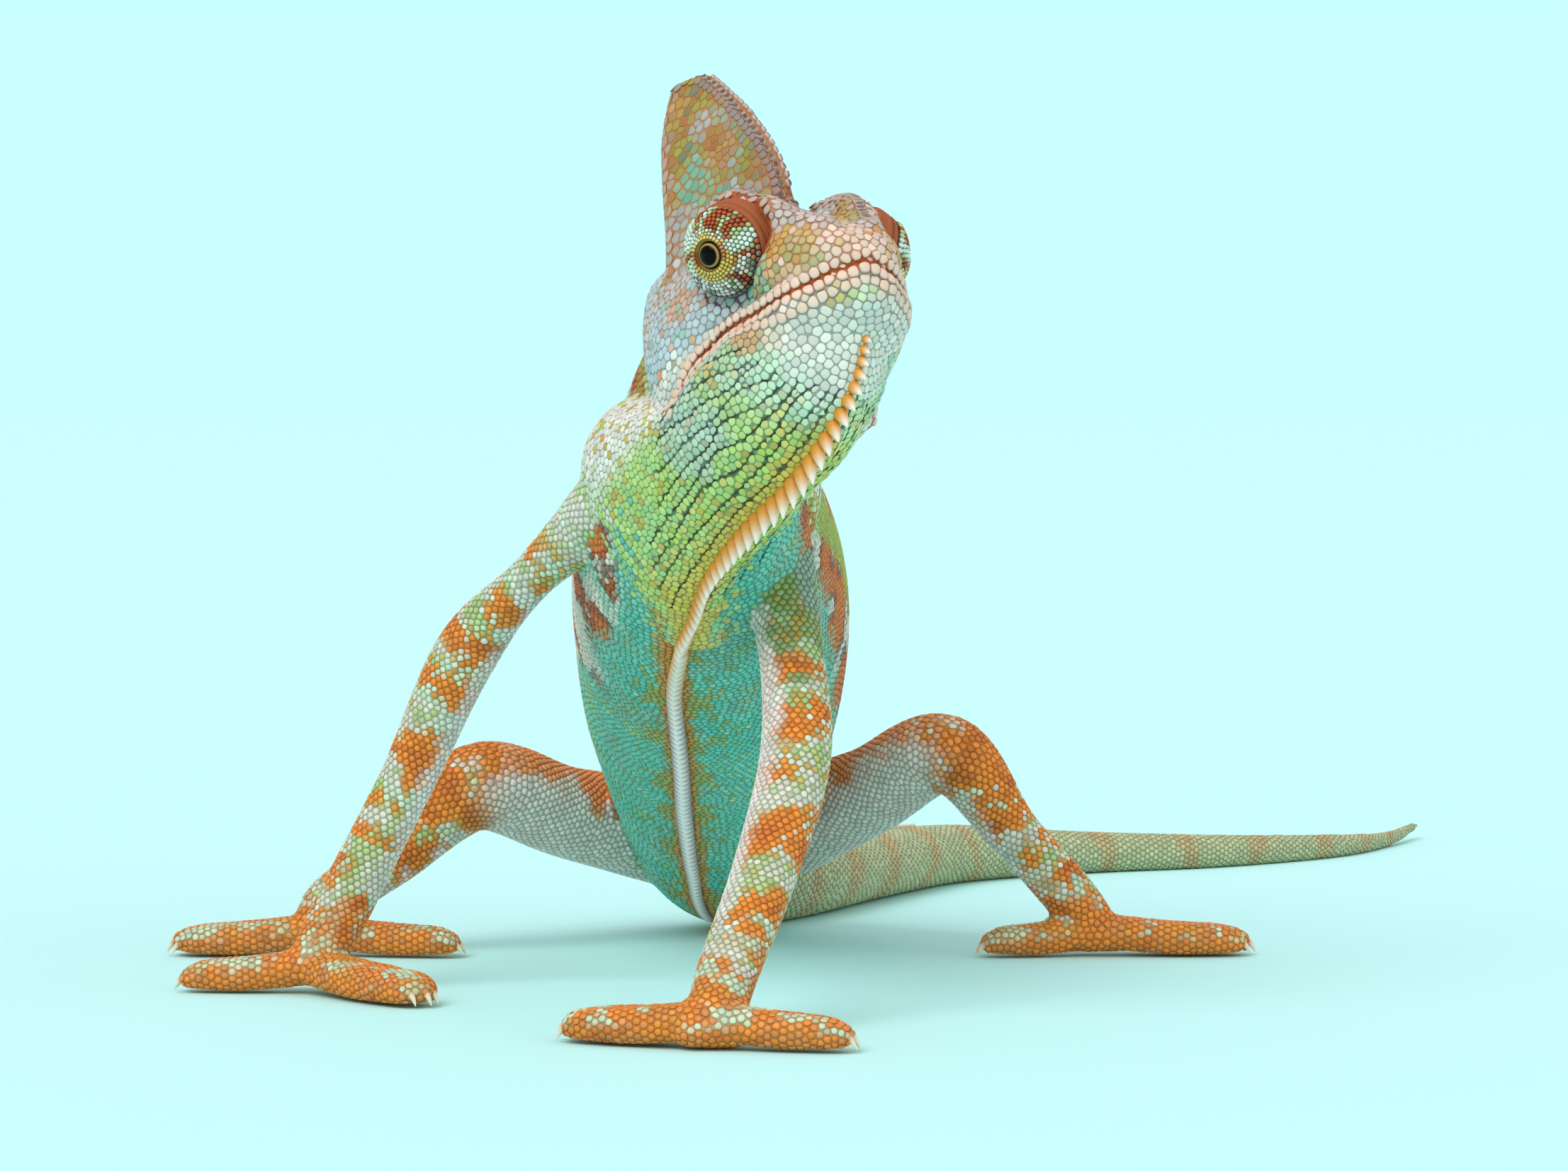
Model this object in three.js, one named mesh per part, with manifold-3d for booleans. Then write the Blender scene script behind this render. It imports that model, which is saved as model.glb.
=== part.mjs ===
// Veiled chameleon, life size, reared up on straight forelegs with the head turned to its left.
// Millimetres, +Z up, the floor at z = 0; the animal faces -Y and its tail lies towards +Y.
import * as THREE from 'three';
import Module from 'manifold-3d';
import { mergeVertices } from 'three/addons/utils/BufferGeometryUtils.js';

const wasm = await Module();
wasm.setup();
const { Manifold, Mesh } = wasm;

// ---- driving sizes ----
const gap = 0.3;            // space between neighbouring pieces
const soleDepth = 0.25;     // how much of the soles, belly and tail is planed off flat
const fineness = 0.1;       // detail smaller than this is left out of the facets
const standAt = [11.4, 60.8]; // middle of the footprint, taken to the origin

const headPose = { at: [1.8, -50.3, 91.3], yaw: 27, pitch: 16, roll: -1.5 };
const eyeSize = { at: [7.9, -0.2, 0.75], radius: 6.3, ball: 2.1, deep: 4.3 };
const gazes = { l: [0.93, 0.02, -0.36], r: [-0.86, 0.41, -0.3] }; // each eye looks its own way

// trunk: centre, half width, reach to the back, reach to the belly
const trunkRings = [
  [-8, -38, 66, 11, 12, 11],
  [-10, -26, 61.5, 14, 16.5, 16.5],
  [-9.8, -11, 55.5, 16.4, 20, 19.5],
  [-8.8, 6, 47.5, 17.6, 22, 21.5],
  [-9, 23, 36.5, 16.8, 20, 20],
  [-9.2, 37, 23.5, 13.8, 16, 15.5],
  [-9, 48, 13.8, 10.8, 11.5, 11.2],
  [-6, 61, 8, 8.6, 8.2, 8.2],
  [1.5, 75, 6.2, 6.6, 6.4, 6.4],
];
const trunkUp = [0.2, 0.4, 0.88];

const tailRings = [
  [-6, 61, 7.8, 7.6, 7.4, 8],
  [2.5, 75, 6.2, 6.6, 6.2, 6.4],
  [13, 98, 5.3, 5.6, 5.2, 5.4],
  [26, 122, 4.6, 4.7, 4.5, 4.8],
  [46, 136.5, 3.5, 3.5, 3.3, 3.7],
  [68, 146, 2.8, 2.6, 2.6, 3],
  [88, 162, 2.1, 1.9, 1.9, 2.3],
  [99, 180, 1.5, 1.3, 1.3, 1.7],
  [105.5, 195, 2.3, 0.9, 0.9, 1],
];
const tailCuts = [1.6, 3.4, 5.3];

// limbs: joints with the radius there, then the swell of the muscle on the way to the next joint
const limbs = {
  arm_l: {
    path: [
      [-1.5, -25, 56, 5.4], [0.7, -33, 45, 4.2], [1.4, -42, 32, 4.5], [-2.4, -52, 18.5, 4.1],
      [-6.6, -62, 8, 3.8],
    ],
    drop: [-8.2, -68, 2.4, 3.6], bend: 2, wrist: 7.2, up: [1, 0, 0.2],
    inner: { tip: [-25.2, -61], toes: 3 }, outer: { tip: [7.6, -71.5], toes: 2 },
  },
  arm_r: {
    path: [
      [-19.5, -30, 63, 5.6], [-30.6, -22, 53, 3.1], [-39.7, -15, 42.8, 4.2], [-47.4, -13.4, 26.5, 3.7],
      [-55.6, -13.6, 10.4, 3.8],
    ],
    drop: [-59, -15.5, 3.4, 3.5], bend: 2, wrist: 8.4, up: [-1, 0, 0.2],
    inner: { tip: [-44, -31], toes: 3 }, outer: { tip: [-75.5, -14.5], toes: 2 },
  },
  leg_l: {
    path: [
      [1, 50, 15.5, 7.4], [11.5, 40, 20.8, 6.2], [21.8, 29, 26.7, 5.5], [30.6, 27, 16.5, 3.8],
      [38.5, 25.6, 7.6, 3.7],
    ],
    drop: [42, 25.2, 2.8, 3.3], bend: 2, wrist: 6.8, up: [0, 0, 1],
    inner: { tip: [26.6, 23], toes: 2 }, outer: { tip: [61.6, 25.5], toes: 3 },
  },
  leg_r: {
    path: [
      [-17, 50, 14.5, 7.6], [-29.5, 39, 18, 6.4], [-41.2, 29, 22.3, 6.1], [-52, 27, 13.4, 4.1],
      [-60.5, 25.6, 7.2, 3.7],
    ],
    drop: [-62.5, 25.2, 2.8, 3.3], bend: 2, wrist: 6.8, up: [0, 0, 1],
    inner: { tip: [-43.4, 22.5], toes: 2 }, outer: { tip: [-81, 25], toes: 3 },
  },
};
const toe = { base: 2.5, tip: 2.1, spread: 1.75, lift: 2.3, claw: 1.5, clawBase: 0.75 };
const palm = { across: 2.5, width: 3.6, height: 2.4, cut: 5.2 };

// ---- small tools ----
const rad = THREE.MathUtils.degToRad;

// The head's own axes: x to its left, y forwards, z up; turned by yaw, pitch and roll.
function headAxes({ yaw, pitch, roll }) {
  const [cy, sy] = [Math.cos(rad(yaw)), Math.sin(rad(yaw))];
  const [cp, sp] = [Math.cos(rad(pitch)), Math.sin(rad(pitch))];
  const ahead = new THREE.Vector3(sy * cp, -cy * cp, sp);
  const level = new THREE.Vector3(cy, sy, 0);
  const above = new THREE.Vector3().crossVectors(ahead, level);
  const [cr, sr] = [Math.cos(rad(roll)), Math.sin(rad(roll))];
  return {
    left: level.clone().multiplyScalar(cr).addScaledVector(above, sr),
    ahead,
    above: above.clone().multiplyScalar(cr).addScaledVector(level, -sr),
  };
}
const head = headAxes(headPose);

function inHead(x, y, z) {
  return new THREE.Vector3(...headPose.at)
    .addScaledVector(head.left, x).addScaledVector(head.ahead, y).addScaledVector(head.above, z);
}

// Rows of the head's rings: centre in the head's axes, then the three sizes.
function headRows(rows) {
  return rows.map(([x, y, z, ...sizes]) => [...inHead(x, y, z).toArray(), ...sizes]);
}

// A smooth value between the rows at place t (in rows), one for each column.
function between(rows, t) {
  const i = Math.min(Math.floor(t), rows.length - 2);
  const f = t - i;
  const row = (k) => rows[Math.max(0, Math.min(rows.length - 1, k))];
  return rows[0].map((_, c) => {
    const [p0, p1, p2, p3] = [row(i - 1)[c], row(i)[c], row(i + 1)[c], row(i + 2)[c]];
    return 0.5 * (2 * p1 + (p2 - p0) * f + (2 * p0 - 5 * p1 + 4 * p2 - p3) * f * f
      + (3 * p1 - p0 - 3 * p2 + p3) * f * f * f);
  });
}

function tangent(rows, t) {
  const end = rows.length - 1;
  const a = between(rows, Math.max(0, t - 0.05));
  const b = between(rows, Math.min(end, t + 0.05));
  return new THREE.Vector3(b[0] - a[0], b[1] - a[1], b[2] - a[2]).normalize();
}

// A closed solid from its points and triangles, turned to face outwards.
function solid(points, faces) {
  const geometry = new THREE.BufferGeometry();
  geometry.setAttribute('position', new THREE.Float32BufferAttribute(points.flat(), 3));
  geometry.setIndex(faces.flat());
  return fromGeometry(geometry);
}

function fromGeometry(source) {
  const plain = source.clone();
  plain.deleteAttribute('normal');
  plain.deleteAttribute('uv');
  const merged = mergeVertices(plain, 1e-4);
  const vertProperties = new Float32Array(merged.attributes.position.array);
  const triVerts = new Uint32Array(merged.index.array);
  const p = (k) => new THREE.Vector3().fromArray(vertProperties, 3 * k);
  let volume = 0;
  for (let k = 0; k < triVerts.length; k += 3) {
    volume += p(triVerts[k]).dot(p(triVerts[k + 1]).cross(p(triVerts[k + 2])));
  }
  if (volume < 0) triVerts.reverse();
  return new Manifold(new Mesh({ numProp: 3, vertProperties, triVerts }));
}

// A body of ovals carried along a path. Each row holds a centre, the half width, the reach up and
// the reach down; ends close in a dome. `keel` narrows the lower side, a negative one the upper;
// `edge` brings the upper side to an edge and squares the lower one.
function sweep(rows, options = {}) {
  const { up = [0, 0, 1], sides = 16, steps = 3, keel = 0, edge = 0, square = 0, grow = 0 } = options;
  const { dome = 0.6, domeSteps = 2, facing, from = 0, to } = options;
  const last = to ?? rows.length - 1;
  const rings = [];
  const ring = (t, shrink, push) => {
    const [x, y, z, w, a, b] = between(rows, t);
    const along = facing ? new THREE.Vector3(...facing) : tangent(rows, t);
    const side = new THREE.Vector3().crossVectors(along, new THREE.Vector3(...up)).normalize();
    const top = new THREE.Vector3().crossVectors(side, along);
    const bulge = Math.min(w, a, b) * dome + grow;
    const centre = new THREE.Vector3(x, y, z).addScaledVector(along, push * bulge);
    rings.push({ centre, side, top, sizes: [w, a, b].map((size) => (size + grow) * shrink) });
  };
  for (let k = domeSteps; k >= 1; k--) {
    const turn = (Math.PI / 2) * (k / (domeSteps + 0.35));
    ring(from, Math.cos(turn), -Math.sin(turn));
  }
  const count = Math.round((last - from) * steps);
  for (let k = 0; k <= count; k++) ring(from + ((last - from) * k) / count, 1, 0);
  for (let k = 1; k <= domeSteps; k++) {
    const turn = (Math.PI / 2) * (k / (domeSteps + 0.35));
    ring(last, Math.cos(turn), Math.sin(turn));
  }
  const points = rings.flatMap(({ centre, side, top, sizes: [w, a, b] }) => (
    Array.from({ length: sides }, (_, k) => {
      const turn = (2 * Math.PI * k) / sides;
      const high = Math.cos(turn) * (Math.cos(turn) > 0 ? a : b);
      const [c, s] = [Math.cos(turn), Math.sin(turn)];
      const blade = c > 0 ? 1 - c : Math.abs(s) ** (1 + 0.6 * c);
      const round = Math.abs(s) ** (1 - square * Math.max(c, 0));
      const wide = Math.sign(s) * (round * (1 - edge) + blade * edge) * w * (1 + keel * c);
      return centre.clone().addScaledVector(top, high).addScaledVector(side, wide).toArray();
    })));
  const faces = [];
  for (let r = 0; r + 1 < rings.length; r++) {
    for (let k = 0; k < sides; k++) {
      const [a, b] = [r * sides + k, r * sides + ((k + 1) % sides)];
      faces.push([a, b, b + sides], [a, b + sides, a + sides]);
    }
  }
  const first = points.push(rings[0].centre.toArray()) - 1;
  const end = points.push(rings[rings.length - 1].centre.toArray()) - 1;
  const lastRing = (rings.length - 1) * sides;
  for (let k = 0; k < sides; k++) {
    faces.push([first, (k + 1) % sides, k], [end, lastRing + k, lastRing + ((k + 1) % sides)]);
  }
  return solid(points, faces);
}

const join = (bodies) => bodies.reduce((sum, body) => sum.add(body));

// The largest single piece of a solid.
function largest(body) {
  return body.decompose().reduce((best, piece) => (piece.volume() > best.volume() ? piece : best));
}

// Both sides of a plane through `at`, half a gap back from it: [ahead, behind].
function part(body, at, normal) {
  const n = new THREE.Vector3(...normal).normalize();
  const d = n.dot(new THREE.Vector3(...at));
  return [
    body.trimByPlane(n.toArray(), d + gap / 2),
    body.trimByPlane(n.clone().negate().toArray(), -d + gap / 2),
  ];
}

// ---- head ----
const skullRows = headRows([
  [0, 14.4, -4.8, 5.2, 3.4, 3.6],
  [0, 12, -4.2, 7.3, 4.4, 5],
  [0, 7, -3.4, 9, 6, 6],
  [0, 1, -3.6, 9.6, 8.8, 6.5],
  [0, -6, -5.2, 11, 12, 7.5],
  [0, -12.5, -9, 12.9, 16.4, 7.5],
  [0, -18, -11.3, 12.5, 18.6, 6.2],
]);
const jawRows = headRows([
  [0, 14, -7.6, 5.2, 4, 3.8],
  [0, 10.6, -8.6, 8.4, 5, 5.4],
  [0, 4, -11, 10, 7, 7],
  [0, -4, -12, 11.6, 8, 9],
  [0, -12, -12.5, 13, 9, 10],
  [0, -17, -13.5, 12.6, 9, 9.5],
]);
const throatRows = [
  ...headRows([
    [0.9, 10.5, -10.5, 6, 4, 3.6],
    [-0.6, 6.5, -13, 8.6, 6, 8],
    [-1.8, 1.5, -15.5, 10.6, 8, 9.6],
    [-3.4, -5, -18, 12, 8, 10.4],
    [-4.6, -12, -20, 12.6, 7, 10.4],
  ]),
  [-11, -33, 63, 13, 14, 14.5],
  [-10.2, -24, 59.5, 14.5, 16, 17],
];
const napeRows = [
  [-4, -38.6, 82, 10.5, 9, 10],
  [-7, -29, 75, 11.5, 10.5, 11],
  [-9.2, -19, 66, 13, 11.5, 12],
];
const casqueRows = headRows([
  [0, -16.5, 2, 9.4, 19.5, 5.5],
  [0, -18.3, 8.5, 7.9, 18.3, 5.2],
  [0, -20, 13.2, 6.9, 17.7, 5],
  [0, -21.4, 17.5, 6, 16.1, 4.6],
  [0, -22.8, 22, 5, 13.3, 3.7],
  [0, -23.9, 26, 3.6, 10, 2.6],
  [0, -24.3, 28.9, 2.5, 6.6, 1.7],
]);
const jawAngle = [8.4, -10, -15.4, 5.2];
const headUp = head.above.toArray();
const headAhead = head.ahead.toArray();
const throatUp = head.above.clone().addScaledVector(head.left, 0.15).toArray();

function browRidge(side, grow = 0) {
  const rows = headRows([
    [side * 2.4, 13.6, -0.6, 1.8, 1.2, 2.4],
    [side * 4.2, 9, 1.6, 2.2, 1.2, 4],
    [side * 6, 4.4, 5, 2.2, 1.2, 4.6],
    [side * 7, -0.6, 7, 1.9, 1.3, 4],
    [side * 6.6, -6, 7.6, 2.2, 1.3, 4],
  ]);
  return sweep(rows, { up: headUp, sides: 6, steps: 1, grow, domeSteps: 1 });
}

// A point on the line an eye looks along, that far out from its turret's middle.
function alongGaze(side, far) {
  const [x, y, z] = eyeSize.at;
  const gaze = side > 0 ? gazes.l : gazes.r;
  return [side * x, y, z].map((value, k) => value + far * gaze[k]);
}

// The eye turret: a ball of rings along the eye's line of sight, drawn in to the lids at its tip.
function turret(side, grow = 0) {
  const shape = [[-0.55, 0.84], [0, 1], [0.5, 0.87], [0.78, 0.62], [0.92, 0.38]];
  const rows = headRows(shape.map(([s, share]) => {
    const size = eyeSize.radius * share;
    return [...alongGaze(side, eyeSize.radius * s), size, size, size];
  }));
  return sweep(rows, { up: headUp, sides: 12, steps: 1, grow, dome: 0.25, domeSteps: 1 });
}

function ball(centre, radius, detail = 2) {
  const geometry = new THREE.IcosahedronGeometry(radius, detail);
  geometry.translate(...centre.toArray());
  return fromGeometry(geometry);
}

// The mouth line in the head's side view, as y and z; the skull is what lies over it.
const mouthLine = [
  [24, -4], [16, -4.8], [13, -6.6], [8, -7.5], [-4, -8.2], [-8, -9], [-12.5, -11.6], [-17, -15], [-30, -22],
];
function overMouth(lift) {
  const shape = new THREE.Shape([
    ...mouthLine.map(([y, z]) => new THREE.Vector2(y, z + lift)),
    new THREE.Vector2(-30, 45), new THREE.Vector2(24, 45),
  ]);
  const slab = new THREE.ExtrudeGeometry(shape, { depth: 60, bevelEnabled: false });
  slab.translate(0, 0, -30);
  const place = new THREE.Matrix4().makeBasis(head.ahead, head.above, head.left);
  place.setPosition(...headPose.at);
  slab.applyMatrix4(place);
  return fromGeometry(slab);
}

// A row of cones along the lower (or upper) line of a body, each leaning back along it.
function crest(rows, { up, from, to, count, size, wide = 0.36, over = -1, lean = 0.5 }) {
  return join(Array.from({ length: count }, (_, k) => {
    const s = (k + 0.5) / count;
    const t = from + (to - from) * s;
    const [x, y, z, , a, b] = between(rows, t);
    const along = tangent(rows, t);
    const side = new THREE.Vector3().crossVectors(along, new THREE.Vector3(...up)).normalize();
    const out = new THREE.Vector3().crossVectors(side, along).multiplyScalar(over);
    const root = new THREE.Vector3(x, y, z).addScaledVector(out, over < 0 ? b : a);
    const way = out.clone().addScaledVector(along, lean).normalize();
    const long = size(s);
    const at = (reach, r) => [...root.clone().addScaledVector(way, reach * long).toArray(), r, r, r];
    const shape = { up: side.toArray(), sides: 4, steps: 1, domeSteps: 0 };
    return sweep([at(-0.5, long * wide), at(1, 0.25)], shape);
  }));
}

const skullCore = (grow) => join([
  sweep(skullRows, { up: headUp, sides: 12, steps: 1.2, grow, square: 0.4 }),
  browRidge(1, grow),
  browRidge(-1, grow),
]);
const trunk = (grow) => sweep(trunkRings, { up: trunkUp, sides: 14, steps: 1.2, keel: -0.12, grow, to: 7 });
const nape = (grow) => sweep(napeRows, { up: trunkUp, sides: 12, steps: 1, grow });
const throat = (grow) => sweep(throatRows, { up: throatUp, sides: 12, steps: 1.25, keel: 0.3, grow });

const casqueBody = sweep(casqueRows, {
  up: headAhead, sides: 12, steps: 1.25, edge: 0.85, dome: 0.7, facing: headUp,
});
const headFlesh = (grow) => join([
  skullCore(grow),
  sweep(jawRows, { up: headUp, sides: 12, steps: 1, grow }),
  ...[1, -1].map((side) => {
    const [x, y, z, radius] = jawAngle;
    return ball(inHead(side * x, y, z), radius + grow, 1);
  }),
]);
const above = overMouth(gap / 2);
const notBelow = overMouth(-gap / 2);
const turrets = { l: turret(1), r: turret(-1) };
const eyeAt = (side) => inHead(...alongGaze(side, eyeSize.deep));

const neckCut = join([trunk(gap), throat(gap), nape(gap)]);
const pieces = {};
const put = (name, body, look) => { pieces[name] = { body, look }; };

const skull = headFlesh(0).intersect(above).subtract(neckCut);
put('skull', largest(skull.subtract(turret(1, gap)).subtract(turret(-1, gap))), 'lilac');
put('casque', largest(casqueBody.subtract(headFlesh(gap)).subtract(neckCut)), 'lilac');
put('jaw', largest(headFlesh(0).subtract(notBelow).subtract(neckCut)), 'mint');
const throatEnd = [inHead(0, -13, -20).toArray(), head.ahead.toArray()];
const gularSize = (s) => 1.7 + 2.2 * Math.sin(Math.PI * Math.min(1, 1.35 * s));
const gular = crest(throatRows, { up: throatUp, from: 0.2, to: 5.2, count: 15, size: gularSize });
const [throatFront, throatBack] = part(throat(0).add(gular), ...throatEnd);
const napeCrest = crest(napeRows, { up: trunkUp, over: 1, from: 0.9, to: 2, count: 3, size: () => 1.8 });
const napeBack = part(nape(0).add(napeCrest), ...throatEnd)[1];
put('throat', largest(throatFront.subtract(notBelow).subtract(nape(gap)).subtract(trunk(gap))), 'green');
put('neck', largest(throatBack.add(napeBack).subtract(trunk(gap))), 'green');
for (const [name, side] of [['l', 1], ['r', -1]]) {
  const eye = ball(eyeAt(side), eyeSize.ball, 1);
  const socket = ball(eyeAt(side), eyeSize.ball + gap, 1);
  put(`eye_turret_${name}`, largest(turrets[name].subtract(socket)), 'rust');
  put(`eye_${name}`, eye, 'black');
}

// ---- trunk and tail ----
const backCrest = crest(trunkRings, {
  up: trunkUp, over: 1, from: 2.15, to: 6.6, count: 11, lean: 0.7, size: (s) => 2 - 0.7 * s,
});
const bellyCrest = crest(trunkRings, { up: trunkUp, from: 1.3, to: 5, count: 9, size: (s) => 2.2 - 0.7 * s });
const trunkBody = join([trunk(0), backCrest, bellyCrest.subtract(throat(gap))]);
const cutAt = (rows, t) => [between(rows, t).slice(0, 3), tangent(rows, t).toArray()];
const [behindChest, chest] = part(trunkBody, ...cutAt(trunkRings, 2.1));
const [hips, belly] = part(behindChest, ...cutAt(trunkRings, 4.7));
put('chest', largest(chest), 'green');
put('belly', largest(belly), 'green');
put('hips', largest(hips), 'green');
let tailRest = sweep(tailRings, { up: [0, 0, 1], sides: 8, steps: 1.5 }).subtract(trunk(gap));
tailCuts.forEach((t, k) => {
  const [rest, length] = part(tailRest, ...cutAt(tailRings, t));
  put(`tail_${k + 1}`, largest(length), 'mint');
  tailRest = rest;
});
put(`tail_${tailCuts.length + 1}`, largest(tailRest), 'mint');

// ---- limbs ----
function bundle(from, { tip, toes }) {
  const [dx, dy] = [tip[0] - from[0], tip[1] - from[1]];
  const long = Math.hypot(dx, dy);
  const [ux, uy] = [dx / long, dy / long];
  return join(Array.from({ length: toes }, (_, k) => {
    const off = (k - (toes - 1) / 2) * toe.spread;
    const short = Math.abs(off) * 0.5;
    const at = (s, z, r, spread = 1) => [
      from[0] + ux * s - uy * off * spread, from[1] + uy * s + ux * off * spread, z, r, r, r,
    ];
    const reach = long - short;
    const finger = sweep([
      at(0, toe.base + 0.9, toe.base, 0.4),
      at(reach * 0.5, toe.base, toe.base * 0.94),
      at(reach - 0.6, toe.lift, toe.tip),
    ], { sides: 6, steps: 1, dome: 0.9, domeSteps: 1 });
    const claw = sweep([
      at(reach, toe.lift + 0.2, toe.clawBase),
      at(reach + toe.claw, toe.lift - 0.3, toe.clawBase * 0.8),
      at(reach + toe.claw * 1.5, toe.lift - 1.9, 0.22),
    ], { sides: 4, steps: 1, domeSteps: 0 });
    return finger.add(claw);
  }));
}

for (const [name, limb] of Object.entries(limbs)) {
  const [kind, side] = name.split('_');
  const fore = kind === 'arm';
  const rows = [...limb.path, limb.drop].map(([x, y, z, r]) => [x, y, z, r, r, r]);
  const bones = sweep(rows, { up: limb.up, sides: 8, steps: 1.25 });
  const [px, py, pz] = limb.drop;
  const palmRow = (end) => [px + end * palm.across, py, pz, palm.width, palm.height, palm.height];
  const foot = join([
    bundle([px, py], limb.inner),
    bundle([px, py], limb.outer),
    sweep([palmRow(-1), palmRow(1)], { sides: 8, steps: 1, dome: 1 }),
  ]);
  const whole = join([bones, foot]);
  const [upperLower, hand] = part(whole, [0, 0, limb.wrist], [0, 0, 1]);
  const joint = limb.path[limb.bend];
  const bendAxis = tangent(rows, limb.bend);
  const [lower, upper] = part(upperLower, joint, bendAxis.toArray());
  put(`${fore ? 'upper_arm' : 'thigh'}_${side}`, largest(upper.subtract(neckCut)), 'mint');
  put(`${fore ? 'forearm' : 'shank'}_${side}`, largest(lower), 'mint');
  let middle = hand;
  for (const which of ['inner', 'outer']) {
    const { tip } = limb[which];
    const way = new THREE.Vector2(tip[0] - px, tip[1] - py).normalize();
    const at = [px + way.x * palm.cut, py + way.y * palm.cut, 0];
    const [toes, rest] = part(middle, at, [way.x, way.y, 0]);
    put(`${fore ? 'fingers' : 'toes'}_${which}_${side}`, largest(toes), 'orange');
    middle = rest;
  }
  put(`${fore ? 'hand' : 'foot'}_${side}`, largest(middle), 'orange');
}

// ---- meshes ----
const looks = {
  green: [0x4fae9a, 0.55], mint: [0xa9c9b4, 0.6], lilac: [0xb2a3a4, 0.6],
  orange: [0xc97435, 0.6], rust: [0x9a5630, 0.5], black: [0x0c0a09, 0.1],
};

function toMesh(name, { body, look }) {
  const { vertProperties, triVerts, numProp } = body.getMesh();
  const geometry = new THREE.BufferGeometry();
  const points = new Float32Array((vertProperties.length / numProp) * 3);
  for (let k = 0; k < points.length / 3; k++) {
    points.set(vertProperties.subarray(k * numProp, k * numProp + 3), 3 * k);
  }
  geometry.setAttribute('position', new THREE.BufferAttribute(points, 3));
  geometry.setIndex(new THREE.BufferAttribute(new Uint32Array(triVerts), 1));
  geometry.computeVertexNormals();
  const [color, roughness] = looks[look];
  const mesh = new THREE.Mesh(geometry, new THREE.MeshStandardMaterial({ color, roughness, metalness: 0 }));
  mesh.name = name;
  return mesh;
}

const group = new THREE.Group();
group.name = 'veiled_chameleon';
for (const [name, piece] of Object.entries(pieces)) {
  const planed = piece.body.trimByPlane([0, 0, 1], soleDepth).simplify(fineness);
  group.add(toMesh(name, { ...piece, body: planed }));
}
group.position.set(-standAt[0], -standAt[1], -soleDepth);

export default group;
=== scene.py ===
import math

import bpy
import numpy as np
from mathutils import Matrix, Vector


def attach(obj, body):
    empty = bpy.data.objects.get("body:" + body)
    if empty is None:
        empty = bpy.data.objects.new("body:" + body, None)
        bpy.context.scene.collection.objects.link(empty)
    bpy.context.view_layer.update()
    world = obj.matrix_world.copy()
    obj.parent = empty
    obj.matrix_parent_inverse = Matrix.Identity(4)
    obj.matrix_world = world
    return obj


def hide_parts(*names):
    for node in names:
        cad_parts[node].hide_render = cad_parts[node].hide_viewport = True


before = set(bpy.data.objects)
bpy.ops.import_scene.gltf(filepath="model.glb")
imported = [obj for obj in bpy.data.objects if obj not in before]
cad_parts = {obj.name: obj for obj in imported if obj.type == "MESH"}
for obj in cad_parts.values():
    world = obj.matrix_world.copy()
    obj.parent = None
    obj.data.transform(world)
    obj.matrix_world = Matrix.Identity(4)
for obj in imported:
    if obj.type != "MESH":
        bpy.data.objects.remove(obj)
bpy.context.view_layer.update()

# Everything is worked out in millimetres from the point between the forefeet, then moved to the frame.
standing = {"middle": (11.4, 60.8), "sole": 0.25, "clear": 0.02}
origin = np.array([*standing["middle"], standing["sole"]])
dice = np.random.default_rng(7)


def toFrame(points):
    # millimetres in the tables' own axes to metres in the frame
    return (np.asarray(points, float) - origin) / 1000


# The camera stands at the animal's chest height, 64 cm in front, and looks slightly down.
viewpoint = {"at": (0, -640, 77), "down": 2.37, "lens": 114.83, "sensor": 36}


def addCamera():
    # a level-held camera, tipped down from the horizon
    data = bpy.data.cameras.new("camera")
    data.lens = viewpoint["lens"]
    data.sensor_width = viewpoint["sensor"]
    data.clip_start = 0.01
    camera = bpy.data.objects.new("camera", data)
    camera.location = toFrame(viewpoint["at"])
    camera.rotation_euler = (math.radians(90 - viewpoint["down"]), 0, 0)
    bpy.context.scene.collection.objects.link(camera)
    bpy.context.scene.camera = camera


addCamera()
print("camera")

# The head turns to the animal's left and looks up a little; its own axes are left, ahead and above.
headPose = {"at": (1.8, -50.3, 91.3), "yaw": 27, "pitch": 16, "roll": -1.5}


def headFrame(yaw, pitch, roll):
    # turns by yaw, then pitch, then roll; rows are left, ahead and above
    y, p, r = np.radians([yaw, pitch, roll])
    ahead = np.array([np.sin(y) * np.cos(p), -np.cos(y) * np.cos(p), np.sin(p)])
    level = np.array([np.cos(y), np.sin(y), 0])
    above = np.cross(ahead, level)
    left = level * np.cos(r) + above * np.sin(r)
    return np.array([left, ahead, above * np.cos(r) - level * np.sin(r)])


headAxes = headFrame(headPose["yaw"], headPose["pitch"], headPose["roll"])
headLeft, headAhead, headUp = headAxes


def fromHead(points):
    # the head's own axes to the tables' axes: place + left * x + ahead * y + above * z
    return np.array(headPose["at"]) + np.asarray(points, float) @ headAxes


def inHead(points):
    # the tables' axes to the head's own, the other way round
    return (points - np.array(headPose["at"])) @ headAxes.T


def headRows(rows):
    # rows of sizes whose places are given on the head's own axes
    rows = np.asarray(rows, float)
    return np.hstack([fromHead(rows[:, :3]), rows[:, 3:]])


def unit(vectors):
    # each vector over its length
    return vectors / np.maximum(np.linalg.norm(vectors, axis=-1, keepdims=True), 1e-9)


def step(low, high, x):
    # a smooth rise from 0 at low to 1 at high
    f = np.clip((x - low) / (high - low), 0, 1)
    return f * f * (3 - 2 * f)


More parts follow.
